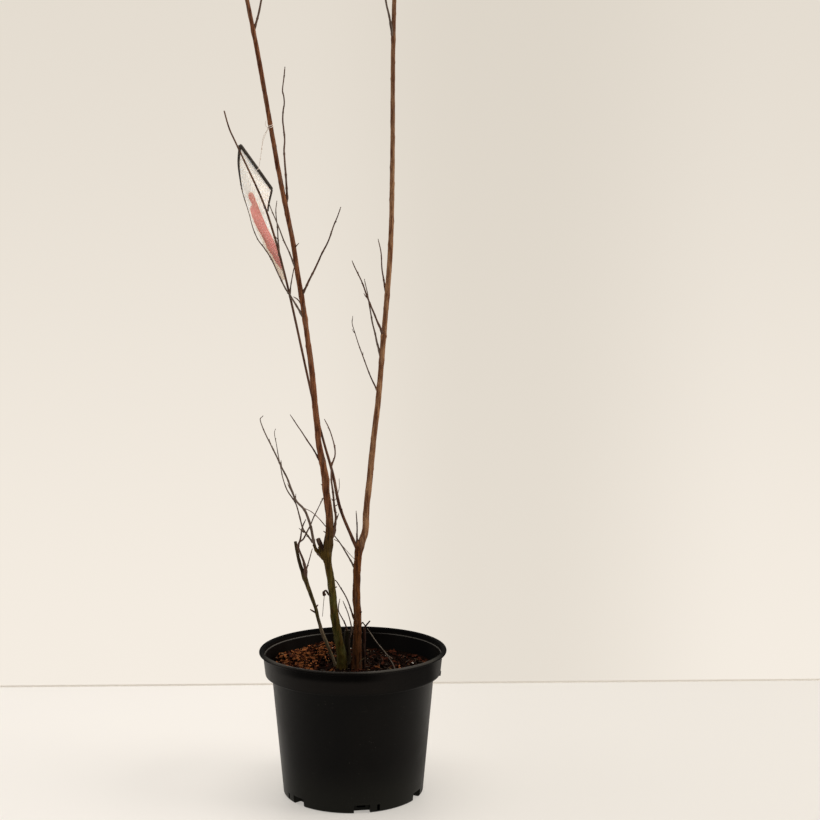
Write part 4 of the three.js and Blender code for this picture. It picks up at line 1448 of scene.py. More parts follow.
@dataclass
class PottingMix:
    """Bark mix that fills the pot: a crumbly bed, a heap of orange bark and loose bits."""

    pot: Pot
    bed: Material
    fibre: Material
    heaps: tuple[Place, ...] = ((-38, 60, 14, 27), (-82, 32, 8, 24))
    orange_middle: Pair = (-58, 26)
    orange_spread: Pair = (19, 36)
    orange_right: float = -42.0
    found_grit: tuple[Pair, ...] = ((-86, 26), (-58, 16), (15.6, 42))
    flat_radius: float = 31.0
    edge_drop: float = 1.2
    crumb: float = 1.5
    segments: int = 300
    ring_step: float = 1.1
    fibres: int = 130
    fibre_reach: float = 88.0
    fibre_limit: float = 95.0

    GRAIN = Grain(3)

    def surface(self, x: Array, y: Array) -> Array:
        """Height of the bed with its crumbs.

        Args:
            x: Places to the right.
            y: Places to the back.

        Returns:
            Heights in millimetres.
        """
        reach = np.hypot(x, y)
        level = SOIL_LEVEL - self.edge_drop * (reach / self.pot.collar_foot) ** 2
        swell = sum(height * np.exp(-(np.hypot(x - left, y - back) / spread) ** 2)
                    for left, back, height, spread in self.heaps)
        swell = swell * np.clip((reach - self.flat_radius) / 12 + 1, 0, 1)
        spots = np.stack([x, y, np.zeros_like(x)], axis=-1)
        rough = self.GRAIN.layered(spots, (11, 11, 11), 2) + 0.6 * self.GRAIN.layered(
            spots + 40, (3.4, 3.4, 3.4), 2)
        return level + swell + self.crumb * rough + 0.4

    def _bed(self) -> None:
        """Makes the bed as one closed body."""
        pot = self.pot
        low = pot.pocket_height + pot.wall + 2
        inner = pot.base_radius - pot.pocket_depth - 6
        wall, foot = pot.inside(SEAT_GAP)[4:6], pot.floor + SEAT_GAP
        side = [(inner, foot), (inner, low), (pot.base_radius - pot.wall, low), *wall[::-1]]
        edge = side[-1][0]
        radii = np.arange(edge - 1, 0.5, -self.ring_step)
        outline = [*side, (edge + 0.2, SOIL_LEVEL - 0.6), *((r, SOIL_LEVEL) for r in radii)]
        surface = lathed(outline, self.segments)
        top = surface[len(side) + 1:]
        top[:, :, 2] = self.surface(top[:, :, 0], top[:, :, 1])
        pile = Pile()
        pile.add_grid(surface)
        present(pile.build("mix_bed"), self.bed, ["soil"])

    def _spots(self, rule: ChipRule, chance: np.random.Generator) -> Array:
        """Chooses where the chips of one kind lie.

        Args:
            rule: The kind's numbers.
            chance: The source of chance.

        Returns:
            Points as rows of X and Y.
        """
        heaped = int(rule.count * rule.heap_share)
        near = chance.normal(self.orange_middle, self.orange_spread, (heaped * 3, 2))
        reach = np.sqrt(chance.random(rule.count * 2)) * self.pot.collar_foot
        turn = chance.random(rule.count * 2) * 2 * math.pi
        wide = np.stack([reach * np.cos(turn), reach * np.sin(turn)], axis=1)
        limit = self.pot.collar_foot - self.pot.wall - 5
        clear = (near[:, 0] < self.orange_right) | (near[:, 1] > self.orange_middle[1])
        near = near[(np.hypot(*near.T) < limit) & clear][:heaped]
        wide = wide[np.hypot(*wide.T) < limit][:rule.count - heaped]
        if rule.kind is ChipKind.GRIT:
            wide[:len(self.found_grit)] = self.found_grit
        return np.vstack([near, wide])

    def _chips(self, rule: ChipRule, seed: int) -> None:
        """Scatters the chips of one kind as a single piece.

        Args:
            rule: The kind's numbers.
            seed: A small whole number.
        """
        chance = np.random.default_rng(seed)
        spots = self._spots(rule, chance)
        count = len(spots)
        length = rule.length[0] + (rule.length[1] - rule.length[0]) * chance.random(count) ** 1.9
        width = length * chance.uniform(*rule.slimness, count)
        thick = np.minimum(width * chance.uniform(0.25, 0.6, count), 1.8)
        turn = np.arange(6) * math.pi / 3 + chance.uniform(-0.3, 0.3, (count, 6))
        radius = chance.uniform(0.72, 1.12, (count, 6))
        outline = np.stack([np.cos(turn) * radius * length[:, None] / 2,
                            np.sin(turn) * radius * width[:, None] / 2], axis=2)
        shapes = np.empty((count, 12, 3))
        shapes[:, :6, :2] = outline * chance.uniform(0.7, 1.0, (count, 1, 1))
        shapes[:, 6:, :2] = outline * chance.uniform(0.75, 1.0, (count, 1, 1))
        lift = chance.uniform(-0.2, 0.2, (count, 12)) * thick[:, None]
        shapes[:, :6, 2] = -thick[:, None] / 2 + lift[:, :6]
        shapes[:, 6:, 2] = thick[:, None] / 2 + lift[:, 6:]
        sides = [(j, (j + 1) % 6, 6 + (j + 1) % 6, 6 + j) for j in range(6)]
        faces = [(5, 4, 3, 2, 1, 0), (6, 7, 8, 9, 10, 11), *sides]
        tilt = chance.normal(0, 0.42, (count, 2))
        heading = chance.uniform(0, 2 * math.pi, count)
        level = self.surface(spots[:, 0], spots[:, 1]) + chance.uniform(-0.2, 1.2, count)
        pile = Pile()
        for i in range(count):
            spin = (Matrix.Rotation(heading[i], 3, "Z") @ Matrix.Rotation(tilt[i, 0], 3, "X")
                    @ Matrix.Rotation(tilt[i, 1], 3, "Y"))
            place = np.array([*spots[i], level[i]])
            pile.add(shapes[i] @ np.array(spin).T + place, faces)
        finish = Crumbs(rule.kind.value, rule.dark, rule.light, rule.cell).make()
        present(pile.build(f"{rule.kind.value}_chips", smooth=False), finish)

    def _fibres(self) -> None:
        """Lays thin bent fibres over the mix."""
        draws = Draws(77)
        pile = Pile()
        for _ in range(self.fibres):
            reach = math.sqrt(draws.next()) * self.fibre_reach
            turn = draws.spread(0, 2 * math.pi)
            heading = draws.spread(0, 2 * math.pi)
            length = draws.spread(4, 16)
            x, y = reach * math.cos(turn), reach * math.sin(turn)
            places = []
            for _ in range(4):
                level = float(self.surface(np.array([x]), np.array([y]))[0])
                places.append((x, y, level + 0.5 + draws.spread(0, 1.3)))
                heading += draws.spread(-0.7, 0.7)
                x += math.cos(heading) * length / 3
                y += math.sin(heading) * length / 3
            if math.hypot(x, y) > self.fibre_limit:
                continue
            rings = Rings.on(Course(places), 9)
            pile.add_grid(rings.tube(np.full(10, draws.spread(0.1, 0.28)), 4))
        present(pile.build("mix_fibres"), self.fibre)

    def build(self) -> None:
        """Makes the bed, the chips and the fibres."""
        self._bed()
        for seed, rule in enumerate(CHIP_RULES, 21):
            self._chips(rule, seed)
        self._fibres()


@dataclass
class Stems:
    """The stems and boughs, each a ringed surface with furrows, flakes, scars and swellings."""

    growth: Growth
    barks: dict[str, Material]
    step: float = 1.5
    sides: int = 26
    sunk: float = 5.0
    scar_spacing: float = 31.0
    smooth_by: float = 260.0
    least: float = 0.35

    GRAIN = Grain(8)

    def _scars(self, name: str, rings: Rings, offsets: Array, height: float) -> None:
        """Raises the leaf scars in turns along a limb.

        Args:
            name: The limb's name.
            rings: Its rings.
            offsets: Added radius for each ring and side, changed in place.
            height: How far a scar stands out.
        """
        draws = Draws(len(name) * 13 + 7)
        walked = rings.walked
        turn = np.linspace(0, 2 * math.pi, offsets.shape[1], endpoint=False)
        spot, side = 14.0, draws.spread(0, 2 * math.pi)
        while spot < walked[-1] - 6:
            along = np.exp(-((walked - spot) / 1.9) ** 2)
            apart = np.angle(np.exp(1j * (turn - side)))
            round_it = 0.35 + np.exp(-(apart / 0.55) ** 2)
            offsets += height * along[:, None] * round_it[None, :]
            spot += self.scar_spacing * draws.spread(0.6, 1.3)
            side += math.pi + draws.spread(-0.9, 0.9)

    def _shape(self, limb: Limb) -> Array:
        """Works out a limb's surface.

        Args:
            limb: The limb.

        Returns:
            Points by ring and side.
        """
        course, wide = self.growth.courses[limb.name], limb.taper[0][1]
        sides, step = self.sides if wide > 4 else 14, self.step if wide > 2 else 1.2
        rings = Rings.on(course, max(6, round(course.length / step)))
        if limb.course[0][2] == FOOT:
            rings.centres[:, 2] -= self.sunk * np.exp(-rings.walked / 4)
        base = limb.radius(rings.centres[:, 2])[:, None] * np.ones((1, sides))
        places = rings.surface(base)
        relief = limb.relief
        climb = np.clip((rings.centres[:, 2] - FOOT) / self.smooth_by, 0, 1)
        share = (1 - (1 - self.least) * climb)[:, None]
        furrow = self.GRAIN.layered(places, (1.5, 1.5, 13), 3)
        lobes = self.GRAIN.at(places, (7, 7, 60))
        flake = np.clip(self.GRAIN.layered(places + 90, (3.2, 3.2, 9), 2) * 5, -1, 1)
        offsets = share * (relief.furrow * furrow + relief.flake * flake) + 0.05 * base * lobes
        if relief.scar:
            self._scars(limb.name, rings, offsets, relief.scar * 0.6)
        taper = np.clip(base / 3.2, 0.25, 1)
        return rings.surface(base + offsets * taper)

    @staticmethod
    def _collars(limb: Limb) -> tuple[Place, ...]:
        """Small swellings where the thicker twigs leave a stem."""
        own = [mass for mass in LISTED_MASSES if mass.on == limb.name and mass.ends[0] > 1.5]
        return tuple((mass.strands[0][0][2], 0.7, 3.4) for mass in own)

    def build(self) -> None:
        """Makes every stem and bough, with those that are part of another as one piece."""
        for node in [limb.name for limb in LIMBS if not limb.part_of]:
            pile = Pile()
            own = [limb for limb in LIMBS if node in (limb.name, limb.part_of)]
            for limb in own:
                knotty = replace(limb, knots=limb.knots + self._collars(limb))
                pile.add_grid(self._shape(knotty))
            piece = pile.build(f"{node}_bark", sharp_deg=62)
            bark = own[0].bark
            present(piece, self.barks[bark], [node])


BUD_SHARES = np.array([0.0, 0.14, 0.36, 0.62, 0.85, 1.0])
BUD_WIDTHS = np.array([0.5, 0.86, 1.0, 0.8, 0.42, 0.08])
BUD_ASIDE = np.array([0.31, 0.87, 0.22])


def bud_surface(root: Array, way: Array, length: float, radius: float,
                sides: int = 6) -> Array:
    """Shapes a pointed bud.

    Args:
        root: Where it sits.
        way: The direction of its point.
        length: Its length.
        radius: Its largest radius.
        sides: Points round each ring.

    Returns:
        Points by ring and side.
    """
    axis = unit(way)
    normal = unit(np.cross(axis, BUD_ASIDE))
    frames = (np.tile(row, (len(BUD_SHARES), 1)) for row in (normal, np.cross(axis, normal), axis))
    rings = Rings(BUD_SHARES, root + axis * (BUD_SHARES * length)[:, None], *frames)
    return rings.tube(BUD_WIDTHS * radius, sides)


@dataclass
class TwigMasses:
    """The twig masses: each one piece, carried on to finer twigs, with buds at its nodes."""

    growth: Growth
    finishes: Sequence[Material]
    bud: Material
    step: float = 1.9
    node_spacing: float = 21.0
    fullness: float = 1.26
    second_fullness: float = 0.86
    tip_share: float = 0.9
    budded_from: float = 1.0
    finer_from: float = 20.0
    buds: Pile = field(default_factory=Pile)

    GRAIN = Grain(14)
    SEED = 900
    SWAY_CELL = (15, 15, 15)
    FOOT_SWELL = 0.5
    NODE_SWELL = 0.3
    NODE_LENGTH = 1.1
    BARE_END = 3
    BUD_LENGTH = 1.9
    BUD_RADIUS = 0.4

    def _twig(self, pile: Pile, strand: Strand, draws: Draws, share: float) -> None:
        """Adds one twig's surface and its buds.

        Args:
            pile: The mass's mesh.
            strand: The twig.
            draws: The source of its small differences.
            share: How full the twig is drawn, as a share of the rule's diameter.
        """
        course = strand.course
        rings = Rings.on(course, max(5, round(course.length / self.step)))
        walked = rings.walked
        tip = strand.thin * self.tip_share
        base = share * rings.cone(strand.wide, tip)
        out = np.clip((walked - strand.buried) / 12, 0, 1)[:, None]
        sway = np.stack([self.GRAIN.at(rings.centres + k * 31, self.SWAY_CELL)
                         for k in range(3)], axis=1)
        rings.centres = rings.centres + sway * out * min(0.7, 0.3 * strand.wide)
        swell = 1 + self.FOOT_SWELL * np.exp(-np.maximum(walked - strand.buried, 0) / 1.5)
        spot = strand.buried + draws.spread(5, 9)
        side = draws.spread(0, 2 * math.pi)
        while spot < walked[-1] - self.BARE_END:
            swell += self.NODE_SWELL * np.exp(-((walked - spot) / self.NODE_LENGTH) ** 2)
            if strand.diameter(spot / walked[-1]) > self.budded_from:
                self._bud(rings, int(np.searchsorted(walked, spot)), side, strand, draws)
            spot += self.node_spacing * draws.spread(0.65, 1.3)
            side += math.pi + draws.spread(-0.8, 0.8)
        swell *= 1 + 0.08 * self.GRAIN.at(rings.centres, (4, 4, 4))
        swell[-1] *= 0.5
        sides = 8 if strand.wide > 1.8 else 6
        pile.add_grid(rings.tube(base * swell, sides))
        way, long = rings.tangents[-1], draws.spread(1.6, 2.3)
        root, wide = rings.centres[-1] - way * 0.5, max(0.36, tip * 0.62)
        self.buds.add_grid(bud_surface(root, way, long, wide))

    def _bud(self, rings: Rings, i: int, side: float, strand: Strand, draws: Draws) -> None:
        """Adds one bud that lies close to its twig.

        Args:
            rings: The twig's rings.
            i: The ring where the bud sits.
            side: The angle round the twig.
            strand: The twig.
            draws: The source of its small differences.
        """
        out = rings.normals[i] * math.cos(side) + rings.binormals[i] * math.sin(side)
        lean = math.radians(draws.spread(20, 34))
        way = rings.tangents[i] * math.cos(lean) + out * math.sin(lean)
        root = rings.centres[i] + out * strand.diameter(float(rings.u[i])) * 0.5
        size = draws.spread(0.75, 1.1)
        long, wide = self.BUD_LENGTH * size, self.BUD_RADIUS * size
        self.buds.add_grid(bud_surface(root, way, long, wide))

    def _mass(self, mass: Mass, strands: Sequence[Strand], finish: Material) -> None:
        """Makes one mass. Its later main strands are drawn thinner.

        Args:
            mass: The mass.
            strands: Its twigs.
            finish: Their bark.
        """
        pile = Pile()
        draws = Draws(mass.seed + self.SEED)
        for i, strand in enumerate(strands):
            second = i > 0 and not strand.level
            self._twig(pile, strand, draws, self.second_fullness if second else self.fullness)
        present(pile.build(f"{mass.name}_wood"), finish, [mass.name])

    def build(self) -> None:
        """Grows all the masses, makes their pieces and joins the buds."""
        masses = [*LISTED_MASSES, *(m for rule in CROWN for m in self.growth.crown(rule))]
        grown = [(mass, self.growth.grow(mass)) for mass in masses]
        for i, (mass, strands) in enumerate(grown):
            finer = self.growth.finer(mass, strands) if mass.side > self.finer_from else []
            plain = PLAIN_BELOW.get(mass.name, 0)
            shown = [s for s in strands if not s.level or s.course.spot(0)[2] > plain]
            self._mass(mass, [*shown, *finer], self.finishes[i % len(self.finishes)])
        present(self.buds.build("winter_buds"), self.bud)


@dataclass(frozen=True)
class Sprig:
    """A spur, hook or broken bit: its course and its diameter at both ends."""

    places: Route
    wide: float
    thin: float


FORK_WEB = (
    Sprig(((-27.5, -9, 273), (-33, -9, 279), (-38.5, -9.3, 285)), 9.2, 5.4),
    Sprig(((-36.5, -9.6, 283), (-41.6, -10.1, 287.4), (-44.9, -11.3, 295)), 5.4, 3.1),
    Sprig(((-31, -9.6, 280), (-34.6, -10, 286), (-37.4, -11, 293)), 9, 6),
)
BARK_SPURS = (
    Sprig(((-22.3, -8, 242.2), (-20, -8.6, 243.6), (-18.1, -9, 244.4)), 2.2, 1.1),
    Sprig(((-28, -9.6, 306.5), (-31, -10.4, 308.4), (-33.7, -11, 310.5)), 2, 0.9),
    Sprig(((-25, -9.8, 309), (-22, -10.4, 311), (-19.3, -11, 312.8)), 2, 0.9),
    Sprig(((-30.5, -10.8, 361), (-33.5, -11.4, 363), (-36.3, -12, 365.6)), 1.8, 0.8),
    Sprig(((-65, -26.5, 634.2), (-61.6, -27.6, 638.7), (-58.4, -29, 642)), 1.6, 0.8),
    Sprig(((-43.5, 10.8, 208.5), (-47, 10, 210.9), (-51, 9, 213.7)), 2.4, 1.4),
    Sprig(((-44.6, 10.6, 214), (-43.4, 10, 216.6), (-41.5, 9.4, 219.2)), 2.2, 1.4),
    Sprig(((5, -5, 212), (8, -7.4, 213.6), (10.8, -8.6, 214.8)), 2.4, 1.6),
    Sprig(((-22, -20, 389), (-23, -20.4, 391.4), (-20.6, -20.2, 394)), 1.5, 1),
    Sprig(((-21.2, -15.8, 345.6), (-22.6, -15.4, 347.4), (-24, -15, 349)), 1.2, 0.7),
    Sprig(((-20.6, -15.2, 339.6), (-18.4, -14.4, 340.8), (-15.7, -14, 342.9)), 1.2, 0.7),
    Sprig(((-19.9, -13.8, 330.2), (-18.6, -13.2, 331.6), (-17.2, -13, 333)), 1.3, 0.8),
    Sprig(((-13, -2.4, 333), (-11.7, -3.6, 335.4)), 1.5, 1),
    Sprig(((-82.6, -15.6, 645.5), (-84.2, -17, 647.5), (-86.7, -18.4, 650.7)), 1.1, 0.7),
    Sprig(((48.3, 38.2, 881), (45.6, 38.2, 884), (44.8, 38.2, 887.6)), 1.8, 1),
)
FOOT_SHOOTS = (
    Sprig(((6.6, -9.4, 149.5), (9.4, -11, 156.8), (12.1, -12.4, 159.5), (14.8, -13.4, 161.4)),
          1.5, 0.7),
)
DEAD_BITS = (
    Sprig(((-34.2, -10.6, 288), (-37.4, -11.5, 295.5), (-40, -12.2, 302)), 6.2, 5.6),
    Sprig(((-25, -9.4, 233), (-28.5, -10.6, 236.5), (-30.6, -11.4, 240.2), (-33, -12, 239.6),
           (-33.4, -12.4, 237.5)), 2.6, 2.2),
    Sprig(((-33.6, -12.2, 239.8), (-33.2, -12.4, 237), (-32.2, -12.4, 234.6)), 2.8, 4.6),
    Sprig(((8, -0.8, 196.2), (9.8, -0.4, 198.5), (11.4, 0, 200.4)), 2, 1.4),
    Sprig(((11.2, 0, 200.6), (12.9, 0.5, 198), (14.6, 1, 195.6)), 1.4, 1.5),
    Sprig(((13.2, 1, 190.5), (13.9, 1, 193.4), (14.6, 1, 196.2)), 2.8, 2),
    Sprig(((14.2, 1, 194.6), (16.9, 1.5, 198), (20, 2, 201.6)), 2, 1.8),
)
DRY_FORKS = (
    Sprig(((38.4, -19.6, 168.6), (42.7, -23, 165.4), (46.8, -25, 163.4)), 1.1, 0.7),
    Sprig(((-32.7, -12.5, 235.4), (-33.9, -12.7, 223.6), (-35.1, -12, 209.7)), 0.75, 0.6),
)
THIN_SPRIGS = (
    Sprig(((-56.7, -20, 339.2), (-48.4, -19, 335.2), (-43, -17.5, 330.8), (-36.8, -15, 324),
           (-30.7, -12, 315.7)), 0.9, 1.15),
    Sprig(((-21.3, -6, 299.7), (-15.8, -2, 295.5), (-8.9, 2, 286.9), (-2, 4, 278.6),
           (2.2, 4, 274.3)), 0.8, 0.6),
    Sprig(((-15, -12, 372), (-14.8, -12, 362.1), (-16.5, -13, 354.6), (-17.9, -14, 349.8),
           (-20.5, -15.6, 346.5)), 0.6, 0.8),
)
SMALL_PIECES = (
    ("fork_web", FORK_WEB, "mossy", "mossy_bark"),
    ("bark_spurs", BARK_SPURS, "shoot", "red_brown_bark"),
    ("thin_sprigs", THIN_SPRIGS, "shoot", "twigs"),
    ("foot_shoot", FOOT_SHOOTS, "stub", "mossy_bark"),
    ("dead_bits", DEAD_BITS, "dead", "dead_wood"),
    ("dry_forks", DRY_FORKS, "dry", "dead_wood"),
)


@dataclass
class SmallGrowth:
    """Spurs, stubs, hooks and broken bits that show along the lower limbs."""

    barks: dict[str, Material]
    step: float = 0.7
    sides: int = 8
    relief: float = 0.16
    end_share: float = 0.6

    GRAIN = Grain(31)

    def _shape(self, sprig: Sprig) -> Array:
        """Works out one bit's uneven surface.

        Args:
            sprig: The bit.

        Returns:
            Points by ring and side.
        """
        course = Course(sprig.places)
        rings = Rings.on(course, max(6, round(course.length / self.step)))
        radii = rings.cone(sprig.wide, sprig.thin)
        radii = radii * (1 + self.relief * self.GRAIN.at(rings.centres, (2, 2, 2)))
        radii[-1] *= self.end_share
        return rings.tube(radii, self.sides)

    def build(self) -> None:
        """Makes each kind of small growth as one piece."""
        for name, sprigs, bark, slot in SMALL_PIECES:
            pile = Pile()
            for sprig in sprigs:
                pile.add_grid(self._shape(sprig))
            present(pile.build(name, sharp_deg=60), self.barks[bark])


@dataclass
class HangTag:
    """Thin curled card with dark edging, its bar, and the thread that ties it to a stem."""

    growth: Growth
    card: Material
    dark: Material
    thread: Material
    left_edge: Route = ((-126, -13, 753), (-127.8, -9, 726), (-119.4, -5, 683), (-92.8, -3, 625),
                        (-80, -4, 601))
    right_edge: Route = ((-91, -5, 703), (-98, 20, 680), (-95, 40, 660), (-88, 46, 634),
                         (-80, 42, 600))
    bar_course: Route = ((-126, -13, 753.8), (-107.8, -9, 728.3), (-90.5, -5.1, 703.6))
    thread_course: Route = ((-97.2, -36, 758.7), (-99.9, -26, 747.4), (-102.5, -17, 737.2),
                            (-105.2, -10.4, 727.6))
    band_left: tuple[Pair, ...] = (
        (0.2, 0.8), (0.27, 0.5), (0.285, 0.42), (0.32, 0.31), (0.36, 0.215), (0.388, 0.17),
        (0.413, 0.165), (0.427, 0.235), (0.45, 0.2), (0.473, 0.14), (0.51, 0.055),
        (0.573, 0.01), (0.62, 0.07), (0.66, 0.1), (0.69, 0.05), (0.738, 0.14), (0.8, 0.18),
        (0.96, 0.6))
    band_right: tuple[Pair, ...] = (
        (0.2, 0.3), (0.27, 0.44), (0.312, 0.53), (0.345, 0.56), (0.422, 0.64), (0.53, 0.7),
        (0.575, 0.76), (0.635, 0.85), (0.705, 0.9), (0.792, 0.97), (0.843, 1.02), (1, 1.2))
    tie_height: float = 771.0
    thickness: float = 0.45
    bar_width: float = 3.8
    wrap_share: float = 0.55
    thread_width: float = 0.8
    bow: float = 1.4
    rows: int = 90
    columns: int = 30

    BACK = np.array([0.0, 1.0, 0.0])

    def _card(self) -> None:
        """Makes the card as one closed sheet."""
        down, across = np.linspace(0, 1, self.rows + 1), np.linspace(0, 1, self.columns + 1)
        left, right = Course(self.left_edge).raw(down), Course(self.right_edge).raw(down)
        face = left[:, None, :] + (right - left)[:, None, :] * across[None, :, None]
        out = unit(np.cross(np.gradient(face, axis=0), np.gradient(face, axis=1)))
        face = face + out * (self.bow * np.sin(math.pi * across))[None, :, None]
        front, back = face + out * self.thickness / 2, face - out * self.thickness / 2
        rows, columns = face.shape[:2]
        size = rows * columns
        grid = np.arange(size).reshape(rows, columns)
        faces = []
        for r in range(rows - 1):
            for c in range(columns - 1):
                quad = (grid[r, c], grid[r + 1, c], grid[r + 1, c + 1], grid[r, c + 1])
                faces.append([int(i) for i in quad])
                faces.append([int(i) + size for i in quad[::-1]])
        border = [*grid[0, :-1], *grid[:-1, -1], *grid[-1, :0:-1], *grid[:0:-1, 0]]
        for i, spot in enumerate(border):
            after = border[(i + 1) % len(border)]
            faces.append([int(spot), int(after), int(after) + size, int(spot) + size])
        down, across = np.meshgrid(down, across, indexing="ij")
        inset = across - np.interp(down, *zip(*self.band_left))
        band = np.minimum(inset, np.interp(down, *zip(*self.band_right)) - across)
        pile = Pile()
        pile.add(np.vstack([front.reshape(-1, 3), back.reshape(-1, 3)]), faces,
                 down=np.tile(down.ravel(), 2), band=np.tile(band.ravel(), 2),
                 inset=np.tile(inset.ravel(), 2))
        present(pile.build("tag_sheet", sharp_deg=50), self.card, ["tag_card"])

    def _edging(self) -> None:
        """Makes the dark lines along the card's two long edges."""
        pile = Pile()
        runs = ((self.left_edge, 0.5, 3.5, 0.3), (self.right_edge, 0.24, 2.6, 1.8))
        for edge, end, wide, thin in runs:
            course = Course(Course(edge).raw(np.linspace(0, end, 12)))
            rings = Rings.on(course, 70)
            pile.add_grid(rings.tube(rings.cone(wide, thin), 8))
        present(pile.build("tag_edging"), self.dark)

    def _bar(self) -> None:
        """Makes the bar over the card's slanted top edge."""
        rings = Rings.on(Course(self.bar_course), 40)
        ends = np.minimum(rings.walked, rings.walked[-1] - rings.walked)
        radii = self.bar_width / 2 * np.sqrt(np.clip(0.3 + ends / 1.2, 0, 1))
        pile = Pile()
        pile.add_grid(rings.tube(radii, 14))
        present(pile.build("tag_rail"), self.dark, ["tag_bar"])

    def _string(self) -> None:
        """Makes the loop round the stem, the knot, its loose ends and the drop to the bar."""
        leader = self.growth.courses["left_stem"]
        u = leader.at_height(self.tie_height)
        centre, along = leader.spot(u), leader.heading(u)
        side = unit(np.cross(along, self.BACK))
        back = np.cross(side, along)
        reach = float(LEFT_STEM.radius(np.array([self.tie_height]))[0]) + 0.55
        pile = Pile()
        turn = np.linspace(0, 2 * math.pi, 25)
        for lift in (-1.1, 0.9):
            loop = [centre + along * (lift - 0.7 * math.cos(t))
                    + (side * math.cos(t) + back * math.sin(t)) * reach for t in turn]
            self._strand(pile, loop, self.thread_width)
        knot = centre + side * reach * 0.95 - back * reach * 0.35 - along * 1.5
        self._strand(pile, [knot, *self.thread_course], 0.5)
        lower = np.array(self.thread_course[1])
        middle = lower + (knot - lower) * 0.45
        self._strand(pile, [knot, middle + side * 1.3, lower], 0.4)
        self._strand(pile, [knot, knot + along * 4 + side * 2.4, knot + along * 9 + side], 0.4)
        rail = Course(self.bar_course)
        spot, way = rail.spot(self.wrap_share), rail.heading(self.wrap_share)
        out = unit(np.cross(way, self.BACK))
        rim = self.bar_width / 2 + 0.3
        wrap = [spot + (out * math.cos(t) + np.cross(out, way) * math.sin(t)) * rim for t in turn]
        self._strand(pile, wrap, self.thread_width)
        knots = ((knot, 1.1), (lower, 0.95), (self.thread_course[2], 0.8))
        for spot, size in knots:
            pile.add_grid(bud_surface(np.array(spot) - along * size, along, size * 2, size, 8))
        present(pile.build("tag_string"), self.thread, ["tag_thread"])

    @staticmethod
    def _strand(pile: Pile, places: Iterable[Place], width: float) -> None:
        """Adds one even strand of thread.

        Args:
            pile: The thread's mesh.
            places: Its course.
            width: Its diameter.
        """
        rings = Rings.on(Course(places), 40)
        ply = 1 + 0.16 * np.sin(rings.walked * 5)
        pile.add_grid(rings.tube(width / 2 * ply, 8))

    def build(self) -> None:
        """Makes the tag."""
        self._card()
        self._edging()
        self._bar()
        self._string()


